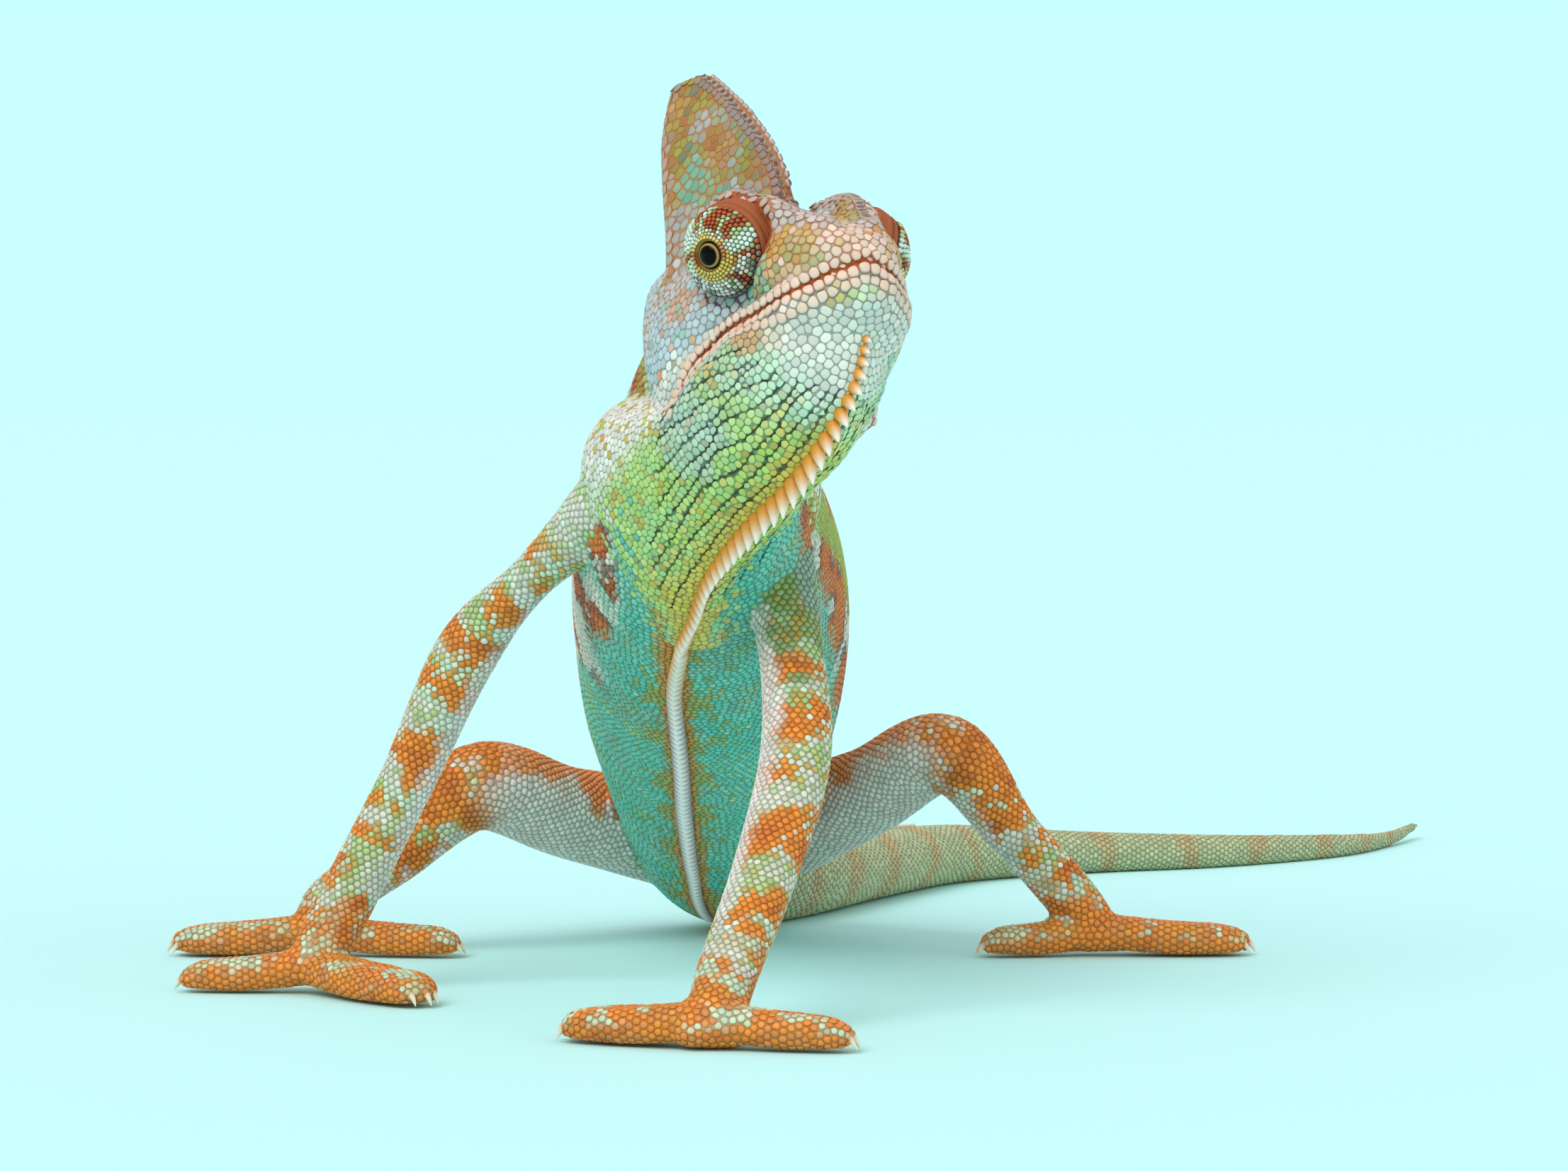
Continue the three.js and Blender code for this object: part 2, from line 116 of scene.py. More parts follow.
def between(rows, t):
    # a smooth curve through the rows (Catmull-Rom), read at places t counted in rows
    rows = np.asarray(rows, float)
    i = np.clip(np.floor(t).astype(int), 0, len(rows) - 2)
    f = (t - i)[:, None]
    p0, p1, p2, p3 = (rows[np.clip(i + k, 0, len(rows) - 1)] for k in (-1, 0, 1, 2))
    return 0.5 * (2 * p1 + (p2 - p0) * f + (2 * p0 - 5 * p1 + 4 * p2 - p3) * f ** 2
                  + (3 * p1 - p0 - 3 * p2 + p3) * f ** 3)


def heading(rows, t):
    # the way the curve runs at t: from a little before to a little after
    last = len(rows) - 1
    return unit((between(rows, np.minimum(t + 0.05, last)) - between(rows, np.maximum(t - 0.05, 0)))[:, :3])


def sweep(part, sides, steps, grow):
    # ovals carried along a path: centre + up * reach * cos + side * width * sin, closed by round ends
    rows = np.asarray(part["rows"], float)
    last = part.get("to", len(rows) - 1)
    bodyT = np.linspace(0, last, int(last * steps) + 1)
    turns = np.linspace(0, np.pi / 2, 6)[1:]
    t = np.concatenate([np.zeros(len(turns)), bodyT, np.full(len(turns), last)])
    shrink = np.concatenate([np.cos(turns)[::-1], np.ones(len(bodyT)), np.cos(turns)])
    push = np.concatenate([-np.sin(turns)[::-1], np.zeros(len(bodyT)), np.sin(turns)])
    row = between(rows, t)
    sizes = row[:, 3:6]
    along = np.tile(part["facing"], (len(t), 1)) if "facing" in part else heading(rows, t)
    side = unit(np.cross(along, part["up"]))
    top = np.cross(side, along)
    ends = sizes.min(1) * part.get("dome", 0.6) + grow
    centre = row[:, :3] + along * (push * ends)[:, None]
    width, up, down = ((sizes + grow) * shrink[:, None]).T
    angle = np.linspace(0, 2 * np.pi, sides, endpoint=False)
    c, s = np.cos(angle), np.sin(angle)
    edge, keel, square = (part.get(name, 0) for name in ("edge", "keel", "square"))
    blade = np.where(c > 0, 1 - c, np.abs(s) ** (1 + 0.6 * c))
    full = np.abs(s) ** (1 - square * np.maximum(c, 0))
    wide = np.sign(s) * (full * (1 - edge) + blade * edge) * (1 + keel * c)
    high = c * np.where(c > 0, up[:, None], down[:, None])
    grid = (centre[:, None] + top[:, None] * high[..., None]
            + side[:, None] * (wide * width[:, None])[..., None])
    return {"grid": grid, "t": t + push * 0.3, "along": along}


def gridFaces(rings, sides):
    # quads between neighbouring rings of a closed grid
    r, k = np.meshgrid(np.arange(rings - 1), np.arange(sides), indexing="ij")
    a, b = r * sides + k, r * sides + (k + 1) % sides
    return np.stack([a, b, b + sides, a + sides], -1).reshape(-1, 4)


def putMesh(name, points, faces):
    # a mesh object from whole arrays: points in metres, faces all of one size
    mesh = bpy.data.meshes.new(name)
    mesh.vertices.add(len(points))
    mesh.vertices.foreach_set("co", np.ascontiguousarray(points, np.float32).ravel())
    mesh.loops.add(faces.size)
    mesh.loops.foreach_set("vertex_index", np.ascontiguousarray(faces, np.int32).ravel())
    mesh.polygons.add(len(faces))
    mesh.polygons.foreach_set("loop_start", np.arange(0, faces.size, faces.shape[1], dtype=np.int32))
    mesh.polygons.foreach_set("use_smooth", np.ones(len(faces), bool))
    mesh.update(calc_edges=True)
    mesh.validate()
    thing = bpy.data.objects.new(name, mesh)
    bpy.context.scene.collection.objects.link(thing)
    return thing


# Every part of the body is a row of ovals: x, y, z, half width, reach up, reach down, in millimetres.
trunk = {
    "rows": [
        (-8, -38, 66, 11, 12, 11), (-10, -26, 61.5, 14, 16.5, 16.5), (-9.8, -11, 55.5, 16.4, 20, 19.5),
        (-8.8, 6, 47.5, 17.6, 22, 21.5), (-9, 23, 36.5, 16.8, 20, 20), (-9.2, 37, 23.5, 13.8, 16, 15.5),
        (-9, 48, 13.8, 10.8, 11.5, 11.2), (-6, 61, 8, 8.6, 8.2, 8.2), (1.5, 75, 6.2, 6.6, 6.4, 6.4),
    ],
    "up": (0.2, 0.4, 0.88), "keel": -0.12, "to": 7, "scale": 0.92,
}
nape = {
    "rows": [(-4, -38.6, 82, 10.5, 9, 10), (-7, -29, 75, 11.5, 10.5, 11), (-9.2, -19, 66, 13, 11.5, 12)],
    "up": (0.2, 0.4, 0.88), "scale": 1.05,
}
throat = {
    "rows": [
        *headRows([
            (0.9, 10.5, -10.5, 6, 4, 3.6), (-0.6, 6.5, -13, 8.6, 6, 8), (-1.6, 1.5, -15.5, 10.4, 7, 9.6),
            (-2.8, -5, -18, 11.3, 6.4, 10.4), (-3.6, -12, -20, 11.2, 5.6, 10.4),
        ]),
        (-11, -33, 63, 13, 14, 14.5), (-10.2, -24, 59.5, 14.5, 16, 17),
    ],
    "up": headUp + 0.15 * headLeft, "keel": 0.3, "scale": 1.08, "scaleEnd": 0.92,
}
skull = {
    "rows": headRows([
        (0, 14.4, -4.8, 5.2, 3.4, 3.6), (0, 12, -4.2, 7.3, 4.4, 5), (0, 7, -3.4, 9, 6, 6),
        (0, 1, -3.6, 9.6, 8.8, 6.5), (0, -6, -5.2, 11, 12, 7.5), (0, -12.5, -9, 12.9, 16.4, 7.5),
        (0, -18, -11.3, 12.5, 18.6, 6.2),
    ]),
    "up": headUp, "square": 0.4, "scale": 1.2,
}
jaw = {
    "rows": headRows([
        (0, 14, -7.6, 5.2, 4, 3.8), (0, 10.6, -8.6, 8.4, 5, 5.4), (0, 4, -11, 10, 7, 7),
        (0, -4, -12, 11.6, 8, 9), (0, -12, -12.5, 13, 9, 10), (0, -17, -13.5, 12.6, 9, 9.5),
    ]),
    "up": headUp, "scale": 1.2,
}
casque = {
    "rows": headRows([
        (0, -16.5, 2, 9.4, 19.5, 5.5), (0, -18.3, 8.5, 7.9, 18.3, 5.2), (0, -20, 13.2, 6.9, 17.7, 5),
        (0, -21.4, 17.5, 6, 16.1, 4.6), (0, -22.8, 22, 5, 13.3, 3.7), (0, -23.9, 26, 3.6, 10, 2.6),
        (0, -24.3, 28.9, 2.5, 6.6, 1.7),
    ]),
    "up": headAhead, "facing": headUp, "edge": 0.85, "dome": 0.7, "scale": 1.3, "stretch": 1.6,
}
jawAngle = {"at": (7.9, -10.5, -15.4), "radius": 5, "scale": 1.15}
temple = {"at": (5.8, -3, 1.1), "radius": 5.9, "scale": 1.15}
tail = {
    "rows": [
        (-6, 61, 7.8, 7.6, 7.4, 8), (2.5, 75, 6.2, 6.6, 6.2, 6.4), (13, 98, 5.3, 5.6, 5.2, 5.4),
        (26, 122, 4.6, 4.7, 4.5, 4.8), (46, 136.5, 3.5, 3.5, 3.3, 3.7), (68, 146, 2.8, 2.6, 2.6, 3),
        (88, 162, 2.1, 1.9, 1.9, 2.3), (99, 180, 1.5, 1.3, 1.3, 1.7), (105.5, 195, 2.3, 0.9, 0.9, 1),
    ],
    "up": (0, 0, 1), "scale": 1.1, "scaleEnd": 0.75,
}
# limbs: joints with the radius there; drop is the middle of the palm; each bundle of toes has its tip
limbs = {
    "armLeft": {
        "path": [(-1.5, -25, 56, 5.4), (0.7, -33, 45, 4.2), (1.4, -42, 32, 4.5), (-2.4, -52, 18.5, 4.1),
                 (-6.6, -62, 8, 3.8)],
        "drop": (-8.2, -68, 2.4, 3.6), "up": (1, 0, 0.2), "bundles": [((-25.2, -61), 3), ((7.6, -71.5), 2)],
    },
    "armRight": {
        "path": [(-19.5, -30, 63, 5.6), (-30.6, -22, 53, 3.1), (-39.7, -15, 42.8, 4.2),
                 (-47.4, -13.4, 26.5, 3.7), (-55.6, -13.6, 10.4, 3.8)],
        "drop": (-59, -15.5, 3.4, 3.5), "up": (-1, 0, 0.2), "bundles": [((-44, -31), 3), ((-75.5, -14.5), 2)],
    },
    "legLeft": {
        "path": [(1, 50, 15.5, 7.4), (11.5, 40, 20.8, 6.2), (21.8, 29, 26.7, 5.5), (30.6, 27, 16.5, 3.8),
                 (38.5, 25.6, 7.6, 3.7)],
        "drop": (42, 25.2, 2.8, 3.3), "up": (0, 0, 1), "bundles": [((26.6, 23), 2), ((61.6, 25.5), 3)],
    },
    "legRight": {
        "path": [(-17, 50, 14.5, 7.6), (-29.5, 39, 18, 6.4), (-41.2, 29, 22.3, 6.1), (-52, 27, 13.4, 4.1),
                 (-60.5, 25.6, 7.2, 3.7)],
        "drop": (-62.5, 25.2, 2.8, 3.3), "up": (0, 0, 1), "bundles": [((-43.4, 22.5), 2), ((-81, 25), 3)],
    },
}
limbStretch = 0.84
toes = {"base": 2.5, "tip": 2.1, "spread": 1.75, "lift": 2.3, "scale": 0.98}
palm = {"across": 2.5, "width": 3.6, "height": 2.4}
brow = {
    "rows": [(2.4, 13.6, -0.6, 1.8, 1.2, 2.4), (4.2, 9, 1.6, 2.2, 1.2, 4), (6, 4.4, 5, 2.2, 1.2, 4.6),
             (7, -0.6, 7, 1.9, 1.3, 4), (6.6, -6, 7.6, 2.2, 1.3, 4)],
    "scale": 1.2,
}
# the mouth: one half of the line between the lips, in the head's axes, from the middle to the corner
mouth = {
    "half": [(2.6, 15.7, -6.2), (5, 13.9, -7), (7.6, 10.3, -8.2), (9.1, 4.7, -8.8), (10, 1.3, -9.1),
             (10.6, -1.4, -9.6), (11.2, -4.3, -10.4), (12, -7, -11.8), (12.5, -8.9, -13.5),
             (12.8, -10.4, -15.3), (12.9, -11.6, -17)],
    "middle": (0, 16.6, -5.5), "lip": 1.05, "apart": 0.76, "deep": 0.45, "scale": 1.4, "keepOff": 0.25,
}


def mouthCurve(count):
    # points along the whole line, the way out of the head there and the way across the lips, upwards
    half = np.array(mouth["half"])
    rows = np.vstack([half[::-1], [mouth["middle"]], half * (-1, 1, 1)])
    t = np.linspace(0, len(rows) - 1, count)
    points = between(rows, t)
    out = unit((points + (0, 4, 0)) * (1, 1, 0) * (1, 0.8, 1))
    across = unit(np.cross(heading(rows, t), out))
    return points, out, across * np.sign(across[count // 2, 2])


def round3(points):
    # round cross sections: the radius three times, as half width, reach up and reach down
    return [(x, y, z, r, r, r) for x, y, z, r in points]


def toeLines(limb):
    # each toe's root, direction along the floor, sideways place and length
    px, py = limb["drop"][:2]
    lines = []
    for tip, count in limb["bundles"]:
        reach = np.array([tip[0] - px, tip[1] - py])
        long = np.linalg.norm(reach)
        ux, uy = reach / long
        for k in range(count):
            off = (k - (count - 1) / 2) * toes["spread"]
            lines.append({"root": (px, py), "way": (ux, uy), "off": off, "long": long - abs(off) * 0.5})
    return lines


def alongToe(line, s, z, radius, spread=1):
    # root + way * s + sideways * off, at height z
    (px, py), (ux, uy), off = line["root"], line["way"], line["off"] * spread
    return (px + ux * s - uy * off, py + uy * s + ux * off, z, radius)


def listParts():
    # every part with its name, group (the coat piece it ends up in) and scale size
    parts = []

    def add(name, group, part):
        parts.append({"name": name, "group": group, **part})

    def addBall(name, group, ball, side):
        # a very short tube with round ends comes out as a ball
        x, y, z = ball["at"]
        rows = round3([(side * x, y + 0.3, z, ball["radius"]), (side * x, y - 0.3, z, ball["radius"])])
        add(name, group, {"rows": headRows(rows), "up": headUp, "dome": 0.95, "scale": ball["scale"]})

    add("trunk", "trunk", trunk)
    add("nape", "trunk", nape)
    add("throat", "throat", throat)
    add("skull", "head", skull)
    add("jaw", "throat", jaw)
    add("casque", "casque", casque)
    for side in (1, -1):
        addBall("jawAngle", "throat", jawAngle, side)
        rows = [(side * row[0], *row[1:]) for row in brow["rows"]]
        add("brow", "head", {"rows": headRows(rows), "up": headUp, "scale": brow["scale"]})
        addBall("skull", "head", temple, side)
    for way in (1, -1):
        points, out, across = mouthCurve(29)
        centre = points + across * way * mouth["apart"] - out * mouth["lip"] * 0.55
        rows = np.hstack([centre, np.full((len(centre), 3), mouth["lip"])])
        add("lip", "throat", {"rows": headRows(rows), "up": headUp, "scale": mouth["scale"], "bare": True})
    add("tail", "tail", tail)
    for name, limb in limbs.items():
        group = "arms" if name.startswith("arm") else "legs"
        rows = round3([*limb["path"], limb["drop"]])
        add(name, group, {"rows": rows, "up": limb["up"], "scale": 1.0, "stretch": limbStretch})
        px, py, pz, _ = limb["drop"]
        w, h = palm["width"], palm["height"]
        ends = [(px + end * palm["across"], py, pz, w, h, h) for end in (-1, 1)]
        add("palm", "feet", {"rows": ends, "up": (0, 0, 1), "dome": 1, "scale": toes["scale"]})
        for line in toeLines(limb):
            reach = line["long"]
            finger = round3([
                alongToe(line, 0, toes["base"] + 0.9, toes["base"], 0.4),
                alongToe(line, reach * 0.5, toes["base"], toes["base"] * 0.94),
                alongToe(line, reach - 2.6, toes["lift"], toes["tip"]),
                alongToe(line, reach - 0.3, toes["lift"] - 0.4, toes["tip"] * 0.72),
            ])
            add("finger", "feet", {"rows": finger, "up": (0, 0, 1), "dome": 0.9, "scale": toes["scale"]})
    return parts


parts = listParts()
partNames = [part["name"] for part in parts]
coat = {"depth": 0.3, "grid": 1.2}     # how far the skin lies inside the outer size, and its grid, in mm

for part in parts:
    rows = np.asarray(part["rows"], float)[:int(part.get("to", 99)) + 1]
    long = np.linalg.norm(np.diff(rows[:, :3], axis=0), axis=1).sum()
    sides = max(16, int(2 * np.pi * rows[:, 3:].mean(1).max() / coat["grid"]))
    part.update(sweep(part, sides, max(3, long / coat["grid"] / (len(rows) - 1)), -coat["depth"]))
print("parts", len(parts))

skinMaking = {"voxel": 0.68, "smoothing": 3, "inwards": 0.55, "outwards": 0.57}


def joinGrids(grids):
    # closed grids of rings in one mesh: each one's faces count on from the points before
    starts = np.cumsum([0] + [ring.shape[0] * ring.shape[1] for ring in grids])
    faces = [gridFaces(*ring.shape[:2]) + start for ring, start in zip(grids, starts)]
    return np.concatenate([ring.reshape(-1, 3) for ring in grids]), np.concatenate(faces)


def remeshed(points, faces):
    # one closed skin round all the parts, from small cubes of voxel size
    rough = putMesh("rough", toFrame(points), faces)
    cubes = rough.modifiers.new("cubes", "REMESH")
    cubes.mode = "VOXEL"
    cubes.voxel_size = skinMaking["voxel"] / 1000
    evaluated = rough.evaluated_get(bpy.context.evaluated_depsgraph_get())
    mesh = evaluated.to_mesh()
    co = np.zeros(len(mesh.vertices) * 3, np.float32)
    mesh.vertices.foreach_get("co", co)
    corners = np.zeros(len(mesh.loops), np.int32)
    mesh.loops.foreach_get("vertex_index", corners)
    evaluated.to_mesh_clear()
    bpy.data.objects.remove(rough)
    return co.reshape(-1, 3).astype(float) * 1000 + origin, corners.reshape(-1, 4)


def averaged(points, faces):
    # each point's neighbours along edges, averaged
    a, b = faces.ravel(), np.roll(faces, -1, 1).ravel()
    count = np.bincount(a, minlength=len(points)) + np.bincount(b, minlength=len(points))
    total = np.stack([np.bincount(a, points[b, k], len(points)) + np.bincount(b, points[a, k], len(points))
                      for k in range(3)], 1)
    return total / np.maximum(count, 1)[:, None]


def smoothed(points, faces, rounds):
    # steps towards the neighbours' average and a little further back, so that nothing shrinks
    for _ in range(rounds):
        points = points + skinMaking["inwards"] * (averaged(points, faces) - points)
        points = points - skinMaking["outwards"] * (averaged(points, faces) - points)
    return points


def normalsOf(points, faces):
    # at each point, the sum of its faces' cross products, made one long
    a, b, c, d = (points[faces[:, k]] for k in (0, 1, 2, -1))
    across = np.cross(c - a, d - b) if faces.shape[1] == 4 else np.cross(b - a, c - a)
    total = np.stack([np.bincount(faces.ravel(), np.repeat(across[:, k], faces.shape[1]), len(points))
                      for k in range(3)], 1)
    return unit(total)


skinPoints, skinFaces = remeshed(*joinGrids([part["grid"] for part in parts]))
skinPoints = smoothed(skinPoints, skinFaces, skinMaking["smoothing"])
skinNormals = normalsOf(skinPoints, skinFaces)
print("skin", len(skinPoints), len(skinFaces))


def nearest(points, targets, count, reach):
    # the nearest targets of each point within reach, found through cubes of that size
    low = np.minimum(points.min(0), targets.min(0)) - 1.5 * reach
    cell = np.floor((targets - low) / reach).astype(np.int64)
    size = np.maximum(cell.max(0), np.floor((points - low) / reach).astype(np.int64).max(0)) + 3
    key = (cell[:, 0] * size[1] + cell[:, 1]) * size[2] + cell[:, 2]
    order = np.argsort(key, kind="stable")
    key = key[order]
    found = np.zeros((len(points), count), np.int64)
    away = np.full((len(points), count), np.inf)
    spans = [(dx, dy) for dx in (-1, 0, 1) for dy in (-1, 0, 1)]
    chunk = 20000
    for first in range(0, len(points), chunk):
        p = points[first:first + chunk]
        at = np.floor((p - low) / reach).astype(np.int64)
        best = np.full((len(p), count), np.inf)
        index = np.zeros((len(p), count), np.int64)
        for dx, dy in spans:
            base = ((at[:, 0] + dx) * size[1] + at[:, 1] + dy) * size[2] + at[:, 2]
            start, end = np.searchsorted(key, base - 1), np.searchsorted(key, base + 1, "right")
            most = int((end - start).max())
            if most == 0:
                continue
            slot = start[:, None] + np.arange(most)
            valid = slot < end[:, None]
            slot = order[np.minimum(slot, len(order) - 1)]
            gap = targets[slot] - p[:, None]
            far = np.where(valid, np.einsum("ijk,ijk->ij", gap, gap), np.inf)
            best, index = np.hstack([best, far]), np.hstack([index, slot])
            keep = np.argpartition(best, count - 1, 1)[:, :count]
            best, index = np.take_along_axis(best, keep, 1), np.take_along_axis(index, keep, 1)
        rank = np.argsort(best, 1)
        away[first:first + chunk] = np.sqrt(np.take_along_axis(best, rank, 1))
        found[first:first + chunk] = np.take_along_axis(index, rank, 1)
    return found, away


def partGrid():
    # every grid point with its part, place along it, length round it from below and direction
    for part in parts:
        ring = part["grid"]
        steps = np.linalg.norm(ring - np.roll(ring, 1, 1), axis=2)
        run = np.cumsum(steps, 1)
        part["arc"] = run - run[:, [ring.shape[1] // 2]]
        part["girth"] = np.broadcast_to(steps.sum(1)[:, None], part["arc"].shape)

    def joined(make):
        return np.concatenate([make(part) for part in parts])

    return {
        "arc": joined(lambda part: part["arc"].ravel()),
        "girth": joined(lambda part: part["girth"].ravel()),
        "at": joined(lambda part: part["grid"].reshape(-1, 3)),
        "t": joined(lambda part: np.repeat(part["t"], part["arc"].shape[1])),
        "along": joined(lambda part: np.repeat(part["along"], part["arc"].shape[1], 0)),
        "part": np.repeat(np.arange(len(parts)), [part["arc"].size for part in parts]),
    }


grid = partGrid()


def lookUp(points):
    # which part a point of the skin belongs to, and where on it: the near grid points' weighted mean
    found, away = nearest(points, grid["at"], 4, 2.5)
    first = found[:, 0]
    same = (grid["part"][found] == grid["part"][first][:, None])
    same &= np.abs(grid["arc"][found] - grid["arc"][first][:, None]) < 6
    weight = np.where(same & np.isfinite(away), 1 / (away ** 2 + 0.02), 0)
    weight /= np.maximum(weight.sum(1, keepdims=True), 1e-9)
    mean = {name: (grid[name][found] * weight).sum(1) for name in ("arc", "t", "girth")}
    return {"part": grid["part"][first], "along": grid["along"][first], **mean}


def partIs(place, *names):
    # whether each place is on a part of one of these names
    return np.isin(place["part"], [k for k, name in enumerate(partNames) if name in names])


# The eye turrets: a ball round the eye's line of sight, on the head's axes. Its outline is the distance from
# the ball's middle at each angle from that line: proud lids, a fold where the scales end, a root in the head.
# Rings: the first angle, the last and the step. Scaled and edge: the angles the scales lie between.
turret = {
    "at": (7.9, -0.2, 0.75), "gazes": {1: (0.93, 0.02, -0.36), -1: (-0.86, 0.41, -0.3)}, "radius": 6.1,
    "outline": [(16, 6.36), (19, 6.3), (25, 6.14), (58, 6.12), (61.5, 5.8), (65, 6.05), (70, 6.0), (72, 5.88),
                (74, 6.0), (90, 6.0), (110, 5.7), (126, 5.0), (142, 4.4)],
    "lid": (5.68, 1.62), "rings": (142, 15, -1.5), "sides": 72, "scale": 0.86, "lidScale": 0.44,
    "scaled": 17.5, "edge": 60, "folds": (61.5, 72), "moat": 0.9, "bare": (0.3, 0.9),
}
eyeball = {"radius": 2.1, "out": 4.3, "pupil": 35, "iris": 39, "rings": 28, "sides": 40,
           "black": "#040303", "bronze": "#c49a5c", "brown": "#24170f"}


def turretAxes(side):
    # the line of sight, the way towards the snout and the way up, square to one another, on the head's axes
    gaze = unit(np.array(turret["gazes"][side]))
    above = unit(np.array([0, 0, 1]) - gaze * gaze[2])
    snout = np.cross(above, gaze)
    return np.array([gaze, snout * np.sign(snout[1]), above])


def inTurret(side, out, off, turn):
    # places from the distance out along the line of sight, the distance from it and the turn about it
    spots = np.stack([out, off * np.cos(turn), off * np.sin(turn)], -1) @ turretAxes(side)
    return fromHead(spots + np.array(turret["at"]) * (side, 1, 1))


def fromTurret(points, side):
    # angle from the line of sight in degrees, distance from the ball's middle and turn about that line
    gap = inHead(points) - np.array(turret["at"]) * (side, 1, 1)
    out, ahead, above = (gap @ turretAxes(side).T).T
    off = np.hypot(ahead, above)
    return np.degrees(np.arctan2(off, out)), np.hypot(out, off), np.arctan2(above, ahead)


# Folds of the skin: long creases beside the throat's crest, the mouth, and a hollow round each turret.
creases = {
    "count": 9, "first": 2.1, "apart": 2.1, "narrow": 0.62, "from": 0.9, "to": 5.2, "sway": 0.45,
    "deep": 0.34, "wide": 0.6, "points": 0.5, "keepOff": 0.07,
}


def creaseLines():
    # crease k lies first + k * apart from the crest, measured round the throat, closer together at the chin
    part = parts[partNames.index("throat")]
    lines = []
    for side in (1, -1):
        for k in range(creases["count"]):
            use = (part["t"] > creases["from"] + 0.1 * k) & (part["t"] < creases["to"] - 0.16 * k)
            t = part["t"][use]
            fan = creases["narrow"] + (1 - creases["narrow"]) * step(0.6, 3.2, t)
            sway = creases["sway"] * (np.sin(2.6 * t + 1.7 * k) + 0.6 * np.sin(5.3 * t + 2.9 * k))
            at = side * ((creases["first"] + creases["apart"] * k) * fan + sway * min(1, k / 2))
            rings = zip(at, part["arc"][use], part["grid"][use])
            line = np.concatenate([readLine(ring, arcs, [spot]) for spot, arcs, ring in rings])
            lines.append(alongLine(line, creases["points"]))
    return lines


def alongLine(line, apart):
    # points at even distances along a line
    length = lengthsOf(line)
    return readLine(line, length, np.arange(apart / 2, length[-1], apart))


def lengthsOf(line):
    # the distance run at each of a line's points
    return np.concatenate([[0], np.cumsum(np.linalg.norm(np.diff(line, axis=0), axis=1))])


def readLine(line, length, spots):
    # the line's points where it has run the distances in spots
    return np.stack([np.interp(spots, length, line[:, c]) for c in range(3)], 1)


def cloud(points, size, seed):
    # smooth noise from 0 to 1: random values on a lattice of that size in mm, blended between
    table = np.random.default_rng(seed).random((32, 32, 32))
    q = np.asarray(points, float) / size + 500
    low = np.floor(q).astype(int)
    f = q - low
    f = f * f * (3 - 2 * f)
    value = 0
    for corner in np.ndindex(2, 2, 2):
        weight = np.prod(np.where(np.array(corner), f, 1 - f), axis=1)
        x, y, z = ((low + corner) % 32).T
        value = value + weight * table[x, y, z]
    return value


def snap(points):
    # the skin's place and normal nearest a point
    found, away = nearest(points, skinPoints, 3, 2.5)
    weight = 1 / (np.minimum(away, 9) ** 2 + 0.01)
    weight /= weight.sum(1, keepdims=True)
    base = (skinPoints[found] * weight[..., None]).sum(1)
    normal = unit((skinNormals[found] * weight[..., None]).sum(1))
    return points - normal * ((points - base) * normal).sum(1, keepdims=True), normal, away[:, 0]


def onSkin(points, reach):
    # a line's points that lie on the outside, brought to the skin
    base, _, away = snap(points)
    return base[(np.linalg.norm(points - base, axis=1) < reach) & np.isfinite(away)]


def awayFrom(points, line):
    # each point's distance from a line's nearest point, up to 3 mm
    return nearest(points, line, 1, 3.0)[1][:, 0]


# Broad hollows of the head, on its own axes and alike on both sides: middle, reach, depth in mm.
hollows = [((0, 6.5, 4), 4.2, 1.1), ((0, 0, 8), 4, 0.7), ((8.6, 7.4, -1), 2.6, 0.5), ((10, -10, 5), 5, 0.7),
           ((4.3, 12.3, -0.6), 0.75, 0.7), ((11, -4, -9.6), 3, 0.4), ((6, 12, -4), 2.2, 0.35)]


def sinkFolds(points, normals):
    # moves the skin inwards by the depths of all folds and hollows near it, each fading out at its reach
    sink = creases["deep"] * step(creases["wide"], 0, awayFrom(points, creasePoints))
    sink += mouth["deep"] * step(0.8, 0.1, awayFrom(points, mouthPoints))
    mirrored = np.abs(inHead(points)) * (1, 0, 0) + inHead(points) * (0, 1, 1)
    for middle, reach, deep in hollows:
        sink += deep * step(reach, 0, np.linalg.norm(mirrored - middle, axis=1))
    for side in (1, -1):
        tilt, far, _ = fromTurret(points, side)
        sink += turret["moat"] * step(1.8, 0.3, np.abs(far - turret["radius"])) * step(115, 100, tilt)
    return points - normals * sink[:, None]


creasePoints = onSkin(np.concatenate(creaseLines()), 0.9)
mouthPoints = onSkin(fromHead(alongLine(mouthCurve(300)[0], 0.5)), 1.5)
skinPoints = sinkFolds(skinPoints, skinNormals)
skinPoints[:, 2] = np.maximum(skinPoints[:, 2], standing["sole"] + standing["clear"])
skinNormals = normalsOf(skinPoints, skinFaces)
creasePoints, mouthPoints = snap(creasePoints)[0], snap(mouthPoints)[0]
place = lookUp(skinPoints)
print("folds sunk")

# Scales: laid in staggered rows on each part, evened out over the skin, then built as small domed plates.
scaleMaking = {
    "rounds": 7, "lone": 0.75, "crowded": 0.6, "crease": 0.16, "jitter": 0.17, "gap": 0.74, "fill": 0.66,
    "fillGrow": 1.3, "apart": 1.12, "push": 0.32,
}


def sizeAt(part, t):
    # the part's scale size at t, from its first size evenly to its last
    last = len(part["rows"]) - 1
    end = part.get("scaleEnd", part["scale"])
    return part["scale"] + (end - part["scale"]) * np.clip(t / last, 0, 1)


